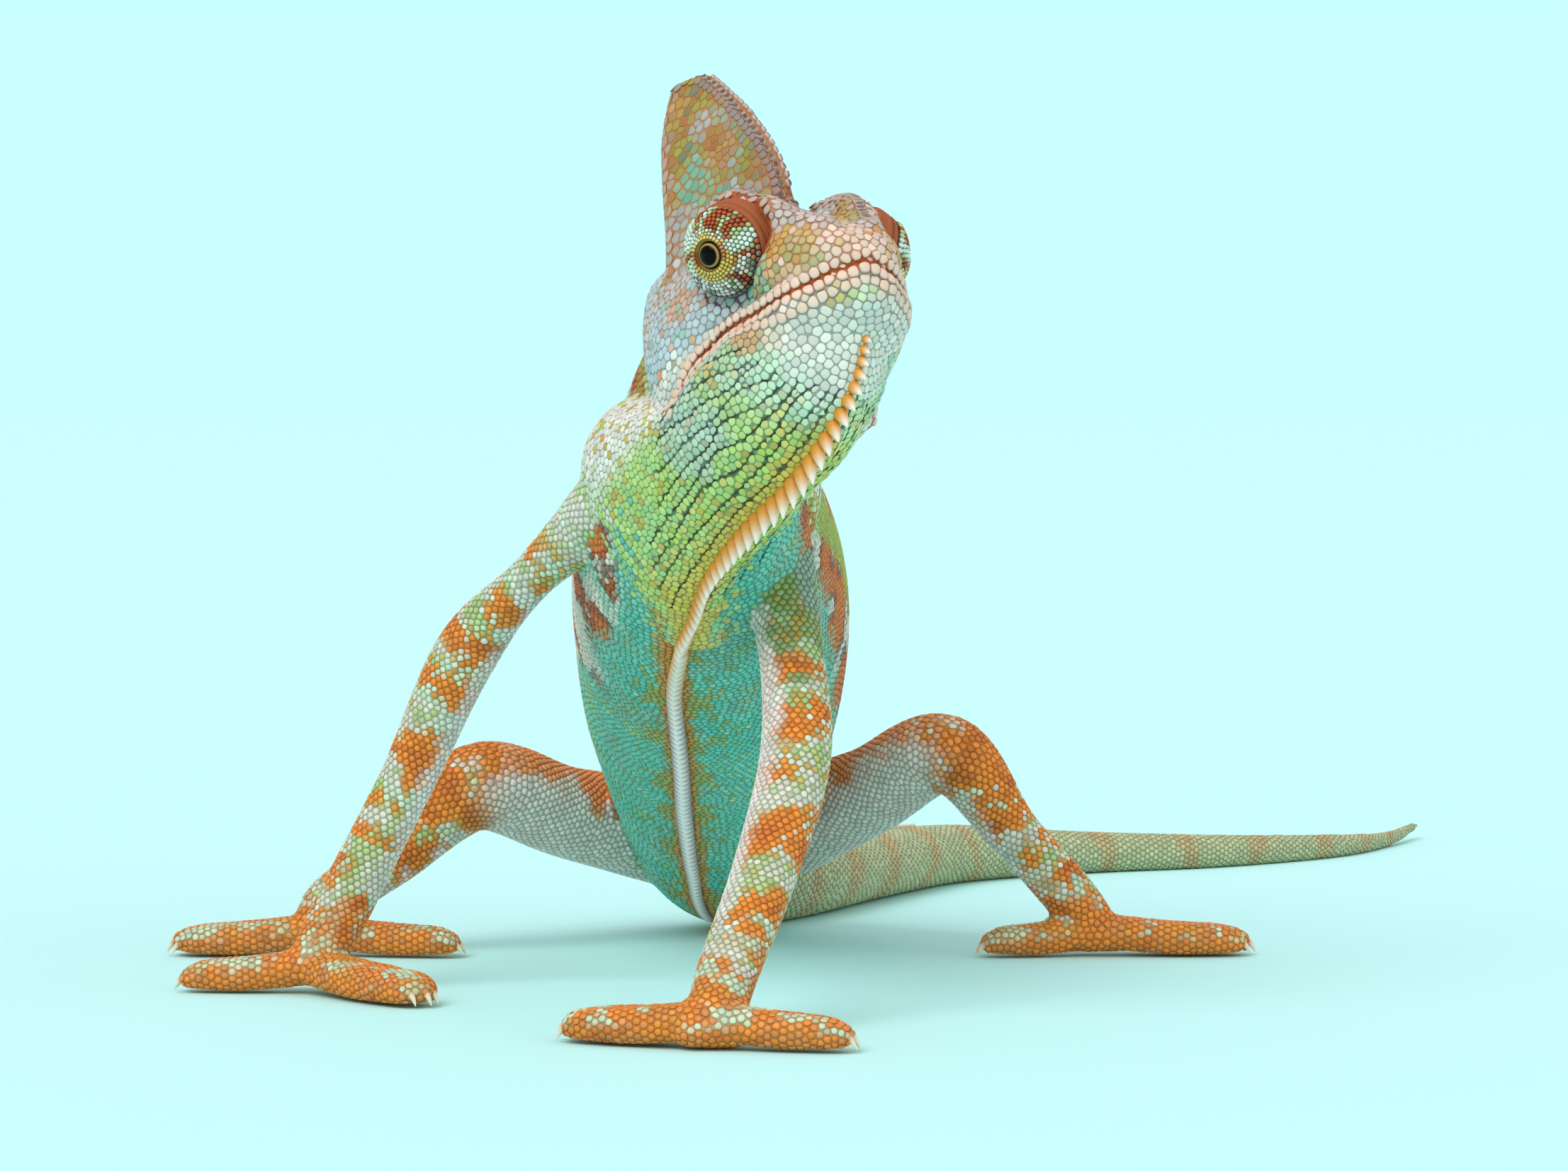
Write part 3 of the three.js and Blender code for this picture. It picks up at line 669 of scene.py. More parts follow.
def layRows(part):
    # rings of points at even distances along and round a part, every other ring shifted by half a scale
    ring = part["grid"]
    steps = np.linalg.norm(np.diff(ring, axis=0), axis=2).mean(1)
    size = sizeAt(part, part["t"])
    rise = np.concatenate([[0], np.cumsum(steps / (size[1:] * 0.866 * part.get("stretch", 1)))])
    points, sizes = [], []
    for k, q in enumerate(np.interp(np.arange(0.5, rise[-1]), rise, np.arange(len(ring)))):
        i = min(int(q), len(ring) - 2)
        line = ring[i] * (1 - q + i) + ring[i + 1] * (q - i)
        line = np.vstack([line, line[:1]])
        length = lengthsOf(line)
        here = np.interp(q, np.arange(len(ring)), size)
        count = max(3, round(length[-1] / here))
        spots = (np.arange(count) + 0.5 * (k % 2)) / count * length[-1]
        points.append(readLine(line, length, spots))
        sizes.append(np.full(count, here))
    return np.concatenate(points), np.concatenate(sizes)


def spread(points, size, stretch, axis, fixed, rounds):
    # neighbours push each other apart until they are about a scale's size from one another
    for _ in range(rounds):
        found, away = nearest(points, points, 8, 3.6)
        gap = points[found[:, 1:]] - points[:, None]
        longways = (gap * axis[:, None]).sum(2)
        gap = gap - axis[:, None] * (longways * (1 - 1 / stretch[:, None]))[..., None]
        far = np.linalg.norm(gap, axis=2)
        want = 0.5 * (size[found[:, 1:]] + size[:, None]) * scaleMaking["apart"]
        force = np.clip(1 - far / want, 0, 1) * np.isfinite(away[:, 1:])
        force = (force * want * scaleMaking["push"])[..., None]
        push = (-gap / np.maximum(far, 1e-6)[..., None] * force).sum(1)
        points = np.where(fixed[:, None], points, points + push)
        points, _, _ = snap(points)
    return points


def thinned(points, size, rank, share):
    # which points stay: one that stands too close to one of higher rank goes, and the points of a crease
    # only keep their own small room free
    found, away = nearest(points, points, 7, 3.0)
    other = found[:, 1:]
    room = np.where(rank[other] > 3.5, scaleMaking["crease"], share * 0.5 * (size[other] + size[:, None]))
    return ~((away[:, 1:] < room) & (rank[other] > rank[:, None])).any(1)


def scaleRows():
    # the rows that follow a line: two on each side of the casque's ridge, one on each brow, one above the
    # mouth and two below it
    rows = []
    ridge = parts[partNames.index("casque")]
    front = ridge["grid"][(ridge["t"] > 0.5) & (ridge["t"] < 6.2), 0]
    for off, size, name in ((0.75, 1.45, "ridge"), (2.15, 1.25, "edge")):
        for side in (1, -1):
            rows.append((alongLine(front, size) + headLeft * side * off - headAhead * 0.2 * off, size, name))
    for part in parts:
        if part["name"] == "brow":
            line = between(part["rows"], np.linspace(0, 4, 60))[:, :3]
            rows.append((alongLine(line, 1.3) + headUp * 1.2, 1.3, "brow"))
    line, _, across = mouthCurve(200)
    line, across = fromHead(line), across @ headAxes
    for off, size in ((0.85, 1.3), (-0.9, 1.4), (-2.15, 1.35)):
        rows.append((alongLine(line + across * off, size), size, "lip"))
    rows.append((creasePoints, creases["keepOff"], "none"))
    rows.append((mouthPoints, mouth["keepOff"], "none"))
    return rows


def inOrbit(points):
    # the bare ring of skin round each turret, wider towards the snout and above
    bare = np.zeros(len(points), bool)
    for side in (1, -1):
        tilt, far, turn = fromTurret(points, side)
        wide = turret["bare"][0] + turret["bare"][1] * np.clip(np.cos(turn - 0.6), 0, 1) ** 2
        bare |= (tilt < 105) & (far < turret["radius"] + wide)
    return bare


def laidScales():
    # every scale on the skin: place, normal, size and kind. The rows that follow a line have the highest
    # rank and stay put; the points of creases have no scale and only keep a place free.
    laid = []
    for spots, here, name in scaleRows():
        count = len(spots)
        laid.append((spots, np.full(count, here), np.full(count, 4.0 if name == "none" else 3.0),
                     np.full(count, name)))
    for part in parts:
        if not part.get("bare"):
            spots, here = layRows(part)
            laid.append((spots, here, dice.random(len(spots)), np.full(len(spots), "plate")))
    points, size, rank, kind = (np.concatenate(values) for values in zip(*laid))
    base, _, away = snap(points)
    off = np.linalg.norm(points - base, axis=1)
    keep = (kind == "none") | ((off < np.where(rank > 2, 2, scaleMaking["lone"])) & np.isfinite(away))
    keep &= ~inOrbit(base)
    points, size, rank, kind = only(keep, base, size, rank, kind)
    size = size * np.where(rank > 2, 1, 0.88 + 0.24 * dice.random(len(size)))
    keep = thinned(points, size, rank, scaleMaking["crowded"])
    points, size, rank, kind = only(keep, points, size, rank, kind)
    where = lookUp(points)
    high = partIs(where, "casque") & (rank < 2)
    stretch = np.where(high, casque["stretch"], np.where(partIs(where, *limbs), limbStretch, 1.0))
    axis = np.where(high[:, None], headUp, where["along"])
    loose = ((rank < 2) * size * scaleMaking["jitter"] * np.where(high, 1.9, 1))[:, None]
    points = points + loose * dice.normal(size=points.shape)
    points = spread(points, size, stretch, axis, rank > 2, scaleMaking["rounds"])
    keep = thinned(points, size, rank, scaleMaking["crowded"] + 0.05)
    points, size, rank, kind = only(keep, points, size, rank, kind)
    for _ in range(2):
        points, size, rank, kind = filled(points, size, rank, kind)
    points, normal, away = snap(points)
    return only(away < 0.9, points, normal, size, kind)


def only(keep, *arrays):
    # the same rows of each array
    return tuple(values[keep] for values in arrays)


def filled(points, size, rank, kind):
    # where the skin still shows a gap of nearly a scale, a scale is added
    partSize = np.array([part["scale"] for part in parts])[place["part"]]
    found, away = nearest(skinPoints, points, 4, 2.5)
    low = np.where(rank[found] > 3.5, scaleMaking["crease"] + 0.12, scaleMaking["gap"] * partSize[:, None])
    free = (away > low).all(1) & ~inOrbit(skinPoints) & ~partIs(place, "lip")
    spots, here = skinPoints[free], partSize[free] * scaleMaking["fill"] * scaleMaking["fillGrow"]
    order = dice.random(len(spots))
    for _ in range(3):
        spots, here, order = only(thinned(spots, here, order, 1.0), spots, here, order)
    print("gaps filled", len(spots))
    return (np.concatenate([points, spots]), np.concatenate([size, here]), np.concatenate([rank, order]),
            np.concatenate([kind, np.full(len(spots), "plate")]))


scalePoints, scaleNormals, scaleSizes, scaleKinds = laidScales()
scalePlace = lookUp(scalePoints)
print("scales", len(scalePoints))

# Plates: the outline is where a scale meets its neighbours, less half a groove; rings are shares of that
# outline with their height as a share of the scale's.
plates = {
    "body": {"sides": 8, "height": 0.14, "groove": 0.02, "rings": [(0.72, 0.86), (1.0, -0.3)]},
    "head": {"sides": 12, "height": 0.085, "groove": 0.02,
             "rings": [(0.66, 0.95), (0.9, 0.7), (1.0, -0.3)]},
    "turret": {"sides": 8, "height": 0.26, "groove": 0.05,
               "rings": [(0.55, 0.94), (0.85, 0.6), (1.0, -0.25)]},
    "cap": 0.72, "rounding": 9,
}
tall = {"ridge": 0.3, "edge": 0.14, "brow": 0.26, "lip": 0.22}     # height shares of the rows along a line
coatCuts = {"chest": -4, "belly": 18}     # where the trunk's coat is cut across, from the front to the back
plateUnwrap = 0.0015     # a plate's half width on its piece's unwrap


def plateMesh(points, normals, sizes, heights, along, make, others, otherSizes):
    # closed domes: a top point, the rings and a point below, for every scale at once. Towards each neighbour
    # the outline reaches its size's share of the way there; the corners between are rounded off.
    found, away = nearest(points, others, 15, 2.8)
    gap = others[found[:, 1:]] - points[:, None]
    gap = gap - normals[:, None] * (gap * normals[:, None]).sum(2, keepdims=True)
    far = np.where(np.isfinite(away[:, 1:]), np.linalg.norm(gap, axis=2), 99)
    share = sizes[:, None] / (sizes[:, None] + otherSizes[found[:, 1:]])
    across = unit(np.cross(normals, along))
    ahead = np.cross(across, normals)
    turn = np.arctan2((gap * across[:, None]).sum(2), (gap * ahead[:, None]).sum(2))
    angle = np.linspace(0, 2 * np.pi, make["sides"], endpoint=False)
    towards = np.maximum(np.cos(turn[..., None] - angle), 0)
    inverse = (towards / np.maximum(share * far, 0.05)[..., None]) ** plates["rounding"]
    limit = (1 / (plates["cap"] * sizes)) ** plates["rounding"]
    radius = (inverse.sum(1) + limit[:, None]) ** (-1 / plates["rounding"]) - make["groove"] / 2
    radius = np.maximum(radius, 0.2 * sizes[:, None])
    spoke = ahead[:, None] * np.cos(angle)[:, None] + across[:, None] * np.sin(angle)[:, None]
    tops = heights[:, None] * normals
    layers = [(points + tops)[:, None]]
    layers += [points[:, None] + spoke * (radius * wide)[..., None] + (tops * high)[:, None]
               for wide, high in make["rings"]]
    layers.append((points - 0.25 * tops - 0.1 * normals)[:, None])
    wides = [wide for wide, _ in make["rings"]]
    shares = np.concatenate([[0], np.repeat(wides, make["sides"]), [0.9]])
    disc = np.stack([np.cos(angle), np.sin(angle)], 1)
    flat = np.concatenate([[(0, 0)], *[disc * wide for wide in wides], [(0, 0)]])
    mesh = np.concatenate(layers, 1).reshape(-1, 3)
    return mesh, plateTriangles(len(points), make["sides"], len(wides)), shares, flat


def plateTriangles(count, sides, rings):
    # the triangles of count plates, each with a top point, rings and a point below
    one = plateFaces(sides, rings)
    each = rings * sides + 2
    return (one[None] + np.arange(count)[:, None, None] * each).reshape(-1, 3)


def plateFaces(sides, rings):
    # the triangles of one plate
    k = np.arange(sides)
    after = (k + 1) % sides
    faces = [np.stack([np.zeros_like(k), 1 + k, 1 + after], 1)]
    for ring in range(rings - 1):
        a, b = 1 + ring * sides + k, 1 + ring * sides + after
        faces += [np.stack([a, a + sides, b + sides], 1), np.stack([a, b + sides, b], 1)]
    last = 1 + (rings - 1) * sides
    faces.append(np.stack([last + after, last + k, np.full_like(k, last + sides)], 1))
    return np.concatenate(faces)


def linear(code):
    # an sRGB hex value as linear red, green and blue
    value = np.array([int(code[k:k + 2], 16) / 255 for k in (1, 3, 5)])
    return np.where(value <= 0.04045, value / 12.92, ((value + 0.055) / 1.055) ** 2.4)


# The animal's colours, and patches of them: part names, middle and reach in mm, colour, strength.
colours = {
    "teal": "#6fc4a6", "sea": "#53bea8", "lime": "#b3cf52", "olive": "#a9a145", "mint": "#c6dfbf",
    "greyTeal": "#93ae9a", "lilacGrey": "#c9b8b4", "pinkLilac": "#dcc3b8", "rust": "#b4531c",
    "orange": "#e0832a", "white": "#efe6e2", "umber": "#5f4439", "paleBlue": "#b7c8cc",
    # the near-black green on the next line is painted shade, for the creases
    "ochre": "#cf9c3c", "aqua": "#74c9b2", "yellow": "#e3c24a", "lipPink": "#ecccb8", "paintedCreaseShade": "#26302a",
    "leaf": "#9dbe52", "cream": "#e9dfc6", "grove": "#c8803f", "amber": "#d68a35", "bone": "#efe9dc",
    # the dusky purple-grey on the next line is painted shade, for the folds under the eye turrets
    "slate": "#5f7f7a", "chalk": "#dedfd4", "blood": "#a8431f", "paintedFoldShade": "#6d5c66", "clay": "#b5653c",
    "ash": "#9c8581", "ember": "#b85a2c", "oat": "#d9d5c4", "sand": "#d98a48", "soil": "#6a4126",
    "moss": "#7d9a45", "reed": "#babd98", "flame": "#ea8a2c", "petal": "#fdeeec", "honey": "#e0962a",
    "milk": "#d9ecdf",
}
headPatches = [
    # on the head's own axes, marked alike on both sides
    ("skull", (0, 12, -1), 7.4, "lipPink", 0.85), ("skull", (8, 7, -1.1), 4, "ochre", 0.9),
    ("skull", (6.8, 8.9, -6), 3.2, "lipPink", 0.8), ("skull brow", (0, 7, 3), 4.6, "olive", 0.75),
    ("skull", (0, 12, 1.2), 2.2, "ochre", 0.5), ("skull", (9, 3.5, -5.8), 3.2, "teal", 0.8),
    ("skull", (5.6, 11.4, -2.6), 2.6, "olive", 0.7), ("skull", (0, 9.5, 1.6), 3, "pinkLilac", 0.7),
    ("skull", (10, -7, -8), 6, "paleBlue", 0.95), ("skull", (12.5, -12, -9), 7, "paleBlue", 0.95),
    ("skull", (12, -15, -1), 7, "paleBlue", 0.85), ("skull", (0, -3, 8), 5, "pinkLilac", 0.8),
    ("skull", (11.5, -10.5, -3.5), 2.5, "orange", 0.5), ("skull", (11.5, -13, -12), 2.4, "orange", 0.6),
    ("casque", (4.5, -22, 27), 3, "ochre", 0.6), ("casque", (5.5, -15.4, 13.6), 3.4, "teal", 0.95),
    ("casque", (4.5, -16, 22), 2.6, "paleBlue", 0.8), ("casque", (6, -11, 11), 2.4, "sea", 0.8),
    ("casque", (7, -17, 7), 5, "paleBlue", 0.7), ("casque", (4, -30, 14), 6, "lilacGrey", 0.9),
    ("casque", (3, -29, 22), 5, "lilacGrey", 0.9), ("casque", (4.2, -11, 18), 3, "orange", 0.5),
    ("skull brow", (4, 3, 5.5), 2.6, "olive", 0.6), ("skull", (9.5, 5.4, -3), 2.2, "teal", 0.7),
    ("skull", (11, 0, -8), 3, "lilacGrey", 0.8), ("skull jawAngle", (13, -13, -13), 3, "orange", 0.55),
    ("throat jaw", (10, 4.5, -10.6), 2.9, "orange", 0.6), ("throat jaw", (6.5, 9, -11), 4, "lipPink", 0.6),
    ("throat jaw", (4, 14, -9), 3.4, "ochre", 0.5), ("throat jaw", (3, 12, -14), 6, "chalk", 0.85),
    ("throat jaw jawAngle", (12, -8, -19), 6, "paleBlue", 0.45),
]


def layered(colour, layers):
    # lays each named colour over what is there, as thick as its mask from 0 to 1
    for name, mask in layers:
        colour = colour + (linear(colours[name]) - colour) * np.clip(mask, 0, 1)[:, None]
    return colour


def patched(colour, patches, where, at, warp):
    # lays each patch over the colour: full in its middle, gone at its reach, with an uneven edge
    for names, middle, reach, name, strength in patches:
        far = np.linalg.norm(at - np.array(middle), axis=1) / reach + warp
        mask = strength * step(1.15, 0.85, far) * partIs(where, *names.split())
        colour = colour + (linear(colours[name]) - colour) * mask[:, None]
    return colour


def paint(where, points, normals, own):
    # the animal's markings at each place, in linear colour; own is each scale's own chance from 0 to 1
    local = inHead(points)
    mirrored = np.stack([np.abs(local[:, 0]), local[:, 1], local[:, 2]], 1)
    fine = cloud(points, 1.5, 11) - 0.5
    rough = cloud(points, 3.2, 13) - 0.5
    broad = cloud(points, 7.5, 12) - 0.5
    around = np.abs(where["arc"]) / np.maximum(where["girth"] / 2, 1)
    off = np.abs(where["arc"])
    t = where["t"]
    chance = own - 0.5

    def has(*names):
        return partIs(where, *names).astype(float)

    # trunk: teal belly, olive notches beside the crest, pale and rust bars on the flanks, a green band above
    body = has("trunk", "nape")
    right = (where["arc"] < 0).astype(float)
    bar = np.sin(t * 7.5 + 3.4 * broad + 3 * around) + 2.6 * rough + 1.2 * fine - 0.3 + 0.85 * right
    edge = np.where(where["arc"] > 0, 0.33 - 0.14 * step(1.5, 0.7, np.abs(t - 1.6)), 0.42)
    belly = has("trunk") * step(edge + 0.04, edge - 0.04, around + 0.12 * broad + 0.05 * chance)
    notch = 2.6 + 1.3 * np.sin(points[:, 2] * 1.05 + 4 * broad) + 5 * fine + 2 * rough
    colour = layered(np.zeros((len(points), 3)) + linear(colours["greyTeal"]), [
        ("oat", body),
        ("teal", body * step(0.0, 0.3, rough + 0.3 * chance) * 0.7),
        ("rust", body * step(-0.15, 0.05, bar)),
        ("orange", body * step(0.5, 0.8, bar) * 0.6),
        ("soil", body * step(0.16 + 0.14 * right, 0.06 + 0.1 * right, np.abs(bar + 0.25)) * 0.85),
        ("leaf", body * step(0.11, 0.05, np.abs(around - 0.62 + 0.1 * broad)) * 0.85),
        ("aqua", belly),
        ("sea", belly * step(-0.15, 0.25, broad + 0.6 * fine + 0.3 * chance) * 0.65),
        ("greyTeal", belly * step(0.05, 0.35, cloud(points, 5, 19) - 0.5 + 0.4 * chance) * 0.5),
        ("leaf", belly * step(0.2, 0.4, rough + 0.45 * chance) * 0.55),
        ("mint", belly * step(0.3, 0.5, fine + 0.45 * chance) * 0.5),
        ("moss", belly * step(9, 4, off) * (own > 0.84) * 0.7),
        ("olive", belly * step(notch + 0.4, notch - 0.4, off) * 0.8),
        ("olive", belly * (own > 0.95) * 0.6),
        ("amber", belly * step(2.2, 1.5, off + 1.4 * chance) * (0.5 + 0.5 * (own > 0.3))),
        ("rust", has("nape") * step(-0.05, 0.15, broad + 0.5 * rough) * 0.9),
        ("leaf", has("nape") * step(0.05, -0.2, rough) * 0.6),
    ])

    # throat: pale blue-green under the jaw, lime further down, pale shoulders, yellow beside the crest
    onThroat, onJaw = has("throat"), has("jaw", "jawAngle")
    lime = onThroat * step(0.9, 2.6, t + 2 * broad + 1.5 * rough - 2.2 * around) * step(0.85, 0.65, around)
    colour = layered(colour, [
        ("mint", onThroat),
        ("greyTeal", onThroat * step(0.25, 0.6, around + 0.3 * rough) * 0.45),
        ("lime", lime * (0.6 + 0.4 * own)),
        ("aqua", onThroat * step(0.2, 0.5, rough + 0.6 * chance) * 0.35),
        ("aqua", onThroat * step(4.9, 6.2, t + broad) * step(0.6, 0.35, around) * 0.8),
        ("white", onThroat * step(0.42, 0.58, around + 0.2 * broad) * step(3.4, 4.2, t) * 0.85),
        ("lime", onThroat * (own > 0.8) * step(0.42, 0.58, around) * step(3.4, 4.2, t)),
        ("orange", onThroat * step(0.5, 0.6, around) * step(0.25, 0.35, rough + 0.4 * chance)
         * step(4, 4.6, t)),
        ("ochre", onThroat * (own > 0.88) * step(1.2, 3, t) * 0.7),
        ("yellow", onThroat * (own < 0.3) * step(10, 4, off) * step(1, 2, t) * 0.6),
        ("yellow", onThroat * step(3.0, 1.8, off + 2 * fine) * step(1.5, 2.4, t) * 0.8),
        ("chalk", onJaw),
        ("mint", onJaw * step(0.1, 0.4, rough + 0.4 * chance) * 0.45),
        ("lime", onJaw * step(0.2, 0.45, rough + 0.5 * chance) * 0.5),
        ("ochre", onJaw * (own > 0.93) * 0.6),
    ])

    # head: olive and rust casque with teal patches, grey-pink ridges and snout, pale blue cheeks
    high, onSkull = has("casque"), has("skull")
    front = onSkull * step(3, 5, local[:, 1])
    colour = layered(colour, [
        ("olive", high),
        ("greyTeal", high * step(0.05, -0.2, rough + 0.3 * chance) * 0.8),
        ("paleBlue", high * step(-0.1, -0.35, rough + 0.4 * chance) * 0.6),
        ("clay", high * step(0.1, 0.35, rough + 0.5 * chance) * 0.75),
        ("slate", high * (own < 0.16) * 0.6),
        ("ash", high * step(0.88, 0.93, around + 0.12 * fine) * 0.85),
        ("lilacGrey", high * step(0.42, 0.32, around + 0.25 * fine) * 0.7),
        ("lilacGrey", has("brow") * 0.9),
        ("paleBlue", onSkull),
    ])
    colour = patched(colour, headPatches, where, mirrored, 0.5 * rough + 0.35 * chance)
    colour = colour * (1 - 0.2 * high[:, None])
    colour = layered(colour, [
        ("orange", onSkull * (own > 0.95) * 0.5),
        ("teal", onSkull * (own < 0.08) * 0.5),
        ("ochre", front * (own > 0.8) * 0.55),
        ("olive", front * (own < 0.14) * 0.6),
        ("lipPink", has("lip")),
    ])

    # limbs: mint with orange blotches that come in bands, greener between, pale on the inner side; the
    # thighs' undersides whitened, partly their own pale colour and partly painted light against the shade
    # beneath
    limb, leg, armLeft = has(*limbs), has("legLeft", "legRight"), has("armLeft")
    ragged = cloud(points, 2.3, 17) - 0.5
    streak = cloud(np.stack([t * 15, off * 0.45, broad * 3], 1), 2.2, 23) - 0.5
    inner = -normals[:, 0] * np.sign(points[:, 0] + 8)
    knee = leg * step(0.5, 0.2, np.abs(t - 2.05))
    band = np.sin(t * (11 - 2 * leg) + 6 * broad + 0.8) * 0.5 + 1.6 * ragged + 2.2 * streak + chance
    band = band - 0.1 + 0.15 * leg + 0.5 * knee
    pale = limb * step(0.4, 0.75, inner + 0.6 * ragged + 0.2 * chance) * step(3.9, 3.2, t)
    under = leg * step(2.3, 1.7, t)
    level = normals[:, 2]
    colour = layered(colour, [
        ("oat", limb),
        ("mint", limb * step(-0.15, 0.1, ragged + 0.4 * chance) * 0.8),
        ("leaf", limb * step(0.0, 0.25, rough + 0.5 * chance) * step(0.6, 0.1, inner) * 0.7),
        ("moss", armLeft * step(1.5, 1.1, t + 1.5 * rough) * step(0.35, 0.6, t) * 0.8),
        ("flame", limb * step(0, 0.12, band) * step(0.5 + 0.5 * armLeft, 0.9 + 0.5 * armLeft, t)),
        ("rust", limb * step(0.7, 1, band) * step(0.5, 0.9, t) * 0.5),
        ("ochre", limb * step(0.3, 0.15, np.abs(band)) * (own > 0.45) * step(0.5, 0.9, t) * 0.7),
        ("white", pale * 0.8),
        ("greyTeal", armLeft * step(0.75, 0.4, t + 0.8 * rough)),
        ("oat", under * step(0.45, 0.05, level + 0.6 * ragged) * 0.85),
        ("greyTeal", under * step(0.15, 0.4, rough + 0.4 * chance) * 0.3),
        # partly the thighs' own pale underside and partly painted light: whiter where the skin faces down,
        # against the shade there
        ("white", under * step(0.5, 0.1, level) * 0.5),
        ("flame", under * step(0.3, 0.6, level + 1.2 * rough + 0.3 * chance) * 0.85),
    ])

    # feet: orange with mint and ochre flecks on top; tail: grey-green with faint brown rings
    feet = has("finger", "palm") + limb * step(3.9, 4.2, t + 1.4 * ragged)
    top = step(-0.1, 0.4, level)
    onTail = has("tail")
    ring = step(0.45, 0.9, np.sin(t * 11 + 2 * broad) + 0.5 * rough)
    colour = layered(colour, [
        ("sand", feet),
        ("flame", feet * step(-0.35, 0.0, fine + 0.8 * chance)),
        ("rust", feet * step(0.2, 0.4, ragged + 0.4 * chance) * 0.5),
        ("mint", feet * step(0.05, 0.15, ragged + 0.3 * chance) * top * 0.9),
        ("ochre", feet * step(0.1, 0.3, rough + 0.3 * chance) * top * 0.5),
        ("reed", onTail),
        ("leaf", onTail * 0.12),
        ("grove", onTail * ring * step(7.6, 7.2, t) * 0.35),
    ])
    return uneven(colour, own)


def uneven(colour, own, darkest=0.86):
    # each scale a little lighter or darker than its neighbours
    return colour * (darkest + 0.3 * (own[:, None] * 7.3 % 1))


def skinColour(where, points, normals):
    # the skin between the scales: the markings darkened as painted shade, rusty on the head and feet, near
    # black in the creases as painted shade, and round each turret a bare ring, wrinkled red above and dark
    # below as painted shade
    # painted shade: the skin between the scales takes the markings at 0.58 of their brightness
    colour = paint(where, points, normals, np.full(len(points), 0.5)) * 0.58
    above = inHead(points)[:, 2]
    colour = layered(colour, [
        ("grove", partIs(where, "casque", "skull", "brow") * step(-10, -4, above) * 0.6),
        ("slate", partIs(where, "throat", "jaw", "jawAngle") * 0.35),
        ("grove", partIs(where, "finger", "palm") * 0.5),
        # painted shade: near black along the throat's creases
        ("paintedCreaseShade", step(0.4, 0.2, awayFrom(points, creasePoints)) * 0.9),
        ("ember", step(1.3, 0.6, awayFrom(points, mouthPoints))),
    ])
    for side in (1, -1):
        tilt, far, turn = fromTurret(points, side)
        ring = step(1.9, 1.2, far - turret["radius"]) * (tilt < 112)
        wrinkle = 0.75 + 0.25 * np.sin(far * 9 + 3 * cloud(points, 2, 5))
        colour = layered(colour, [
            ("blood", ring * step(-0.5, 0, np.sin(turn + 0.5)) * wrinkle),
            # painted shade: dark on the ring's lower side, under the turret
            ("paintedFoldShade", ring * step(-0.2, -0.6, np.sin(turn + 0.5))),
        ])
    return colour


def addPiece(name, points, faces, colour, material, replaced=()):
    # a finished piece: its mesh, one colour per vertex for the materials to read, its material and place
    piece = putMesh(name, toFrame(points), faces)
    layer = piece.data.color_attributes.new("markings", "FLOAT_COLOR", "POINT")
    data = np.ones((len(points), 4), np.float32)
    data[:, :3] = colour.reshape(-1, 3)
    layer.data.foreach_set("color", data.ravel())
    piece.data.materials.append(materials[material])
    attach(piece, "root")
    if replaced:
        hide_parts(*replaced)
    return piece


def addUnwrap(piece, places, flat, tris):
    # every plate a small patch at its own place on the unwrap
    uv = places[:, None] + flat * plateUnwrap
    layer = piece.data.uv_layers.new(name="OFBake")
    layer.data.foreach_set("uv", uv.reshape(-1, 2)[tris.ravel()].astype(np.float32).ravel())


def addNode(tree, kind, settings=None, links=None):
    # one node: settings by property name or input, links as {input: (node, output)}
    node = tree.nodes.new(kind)
    for name, value in (settings or {}).items():
        if isinstance(name, int) or name in node.inputs:
            node.inputs[name].default_value = value
        else:
            setattr(node, name, value)
    for name, (source, output) in (links or {}).items():
        tree.links.new(source.outputs[output], node.inputs[name])
    return node


# Materials. Grains are bumps per millimetre, as fine as the render still shows; deep is their depth in mm.
finishes = {
    # keratin plates, grown: dry and faintly waxy, with a soft broad shine on each dome
    "plate": {"name": "keratinScales", "ior": 1.54, "specular": 0.45, "roughness": (0.38, 0.6),
              "grains": 2.2, "strength": 0.35, "deep": 0.1},
    # thin hide between the plates: soft, dull and finely wrinkled
    "skin": {"name": "foldedSkin", "ior": 1.45, "specular": 0.3, "roughness": (0.6, 0.8),
             "grains": 1.4, "strength": 0.5, "deep": 0.15},
    # the wet cornea: smooth, with a small sharp light in it
    "eye": {"name": "wetEye", "ior": 1.38, "specular": 0.15, "roughness": (0.08, 0.12),
            "grains": 0.9, "strength": 0.02, "deep": 0.02},
    # solid keratin of the claws: smoother than the plates, a little worn
    "horn": {"name": "clawHorn", "ior": 1.54, "specular": 0.5, "roughness": (0.3, 0.45),
             "grains": 1.8, "strength": 0.2, "deep": 0.1},
}


def makeMaterial(finish):
    # colour from the markings, roughness and bumps from one noise on Object coordinates
    material = bpy.data.materials.new(finish["name"])
    material.use_nodes = True
    tree = material.node_tree
    shader = tree.nodes["Principled BSDF"]
    shader.inputs["IOR"].default_value = finish["ior"]
    shader.inputs["Specular IOR Level"].default_value = finish["specular"]
    low, high = finish["roughness"]
    where = addNode(tree, "ShaderNodeTexCoord")
    noise = addNode(tree, "ShaderNodeTexNoise", {"Scale": 1000 * finish["grains"], "Detail": 3.0},
                    {"Vector": (where, "Object")})
    shine = addNode(tree, "ShaderNodeMapRange", {"To Min": low, "To Max": high}, {"Value": (noise, "Fac")})
    depth = finish["deep"] / 1000
    relief = addNode(tree, "ShaderNodeBump", {"Strength": finish["strength"], "Distance": depth},
                     {"Height": (noise, "Fac")})
    marks = addNode(tree, "ShaderNodeVertexColor", {"layer_name": "markings"})
    for node, output, socket in ((shine, "Result", "Roughness"), (relief, "Normal", "Normal"),
                                 (marks, "Color", "Base Color")):
        tree.links.new(node.outputs[output], shader.inputs[socket])
    return material


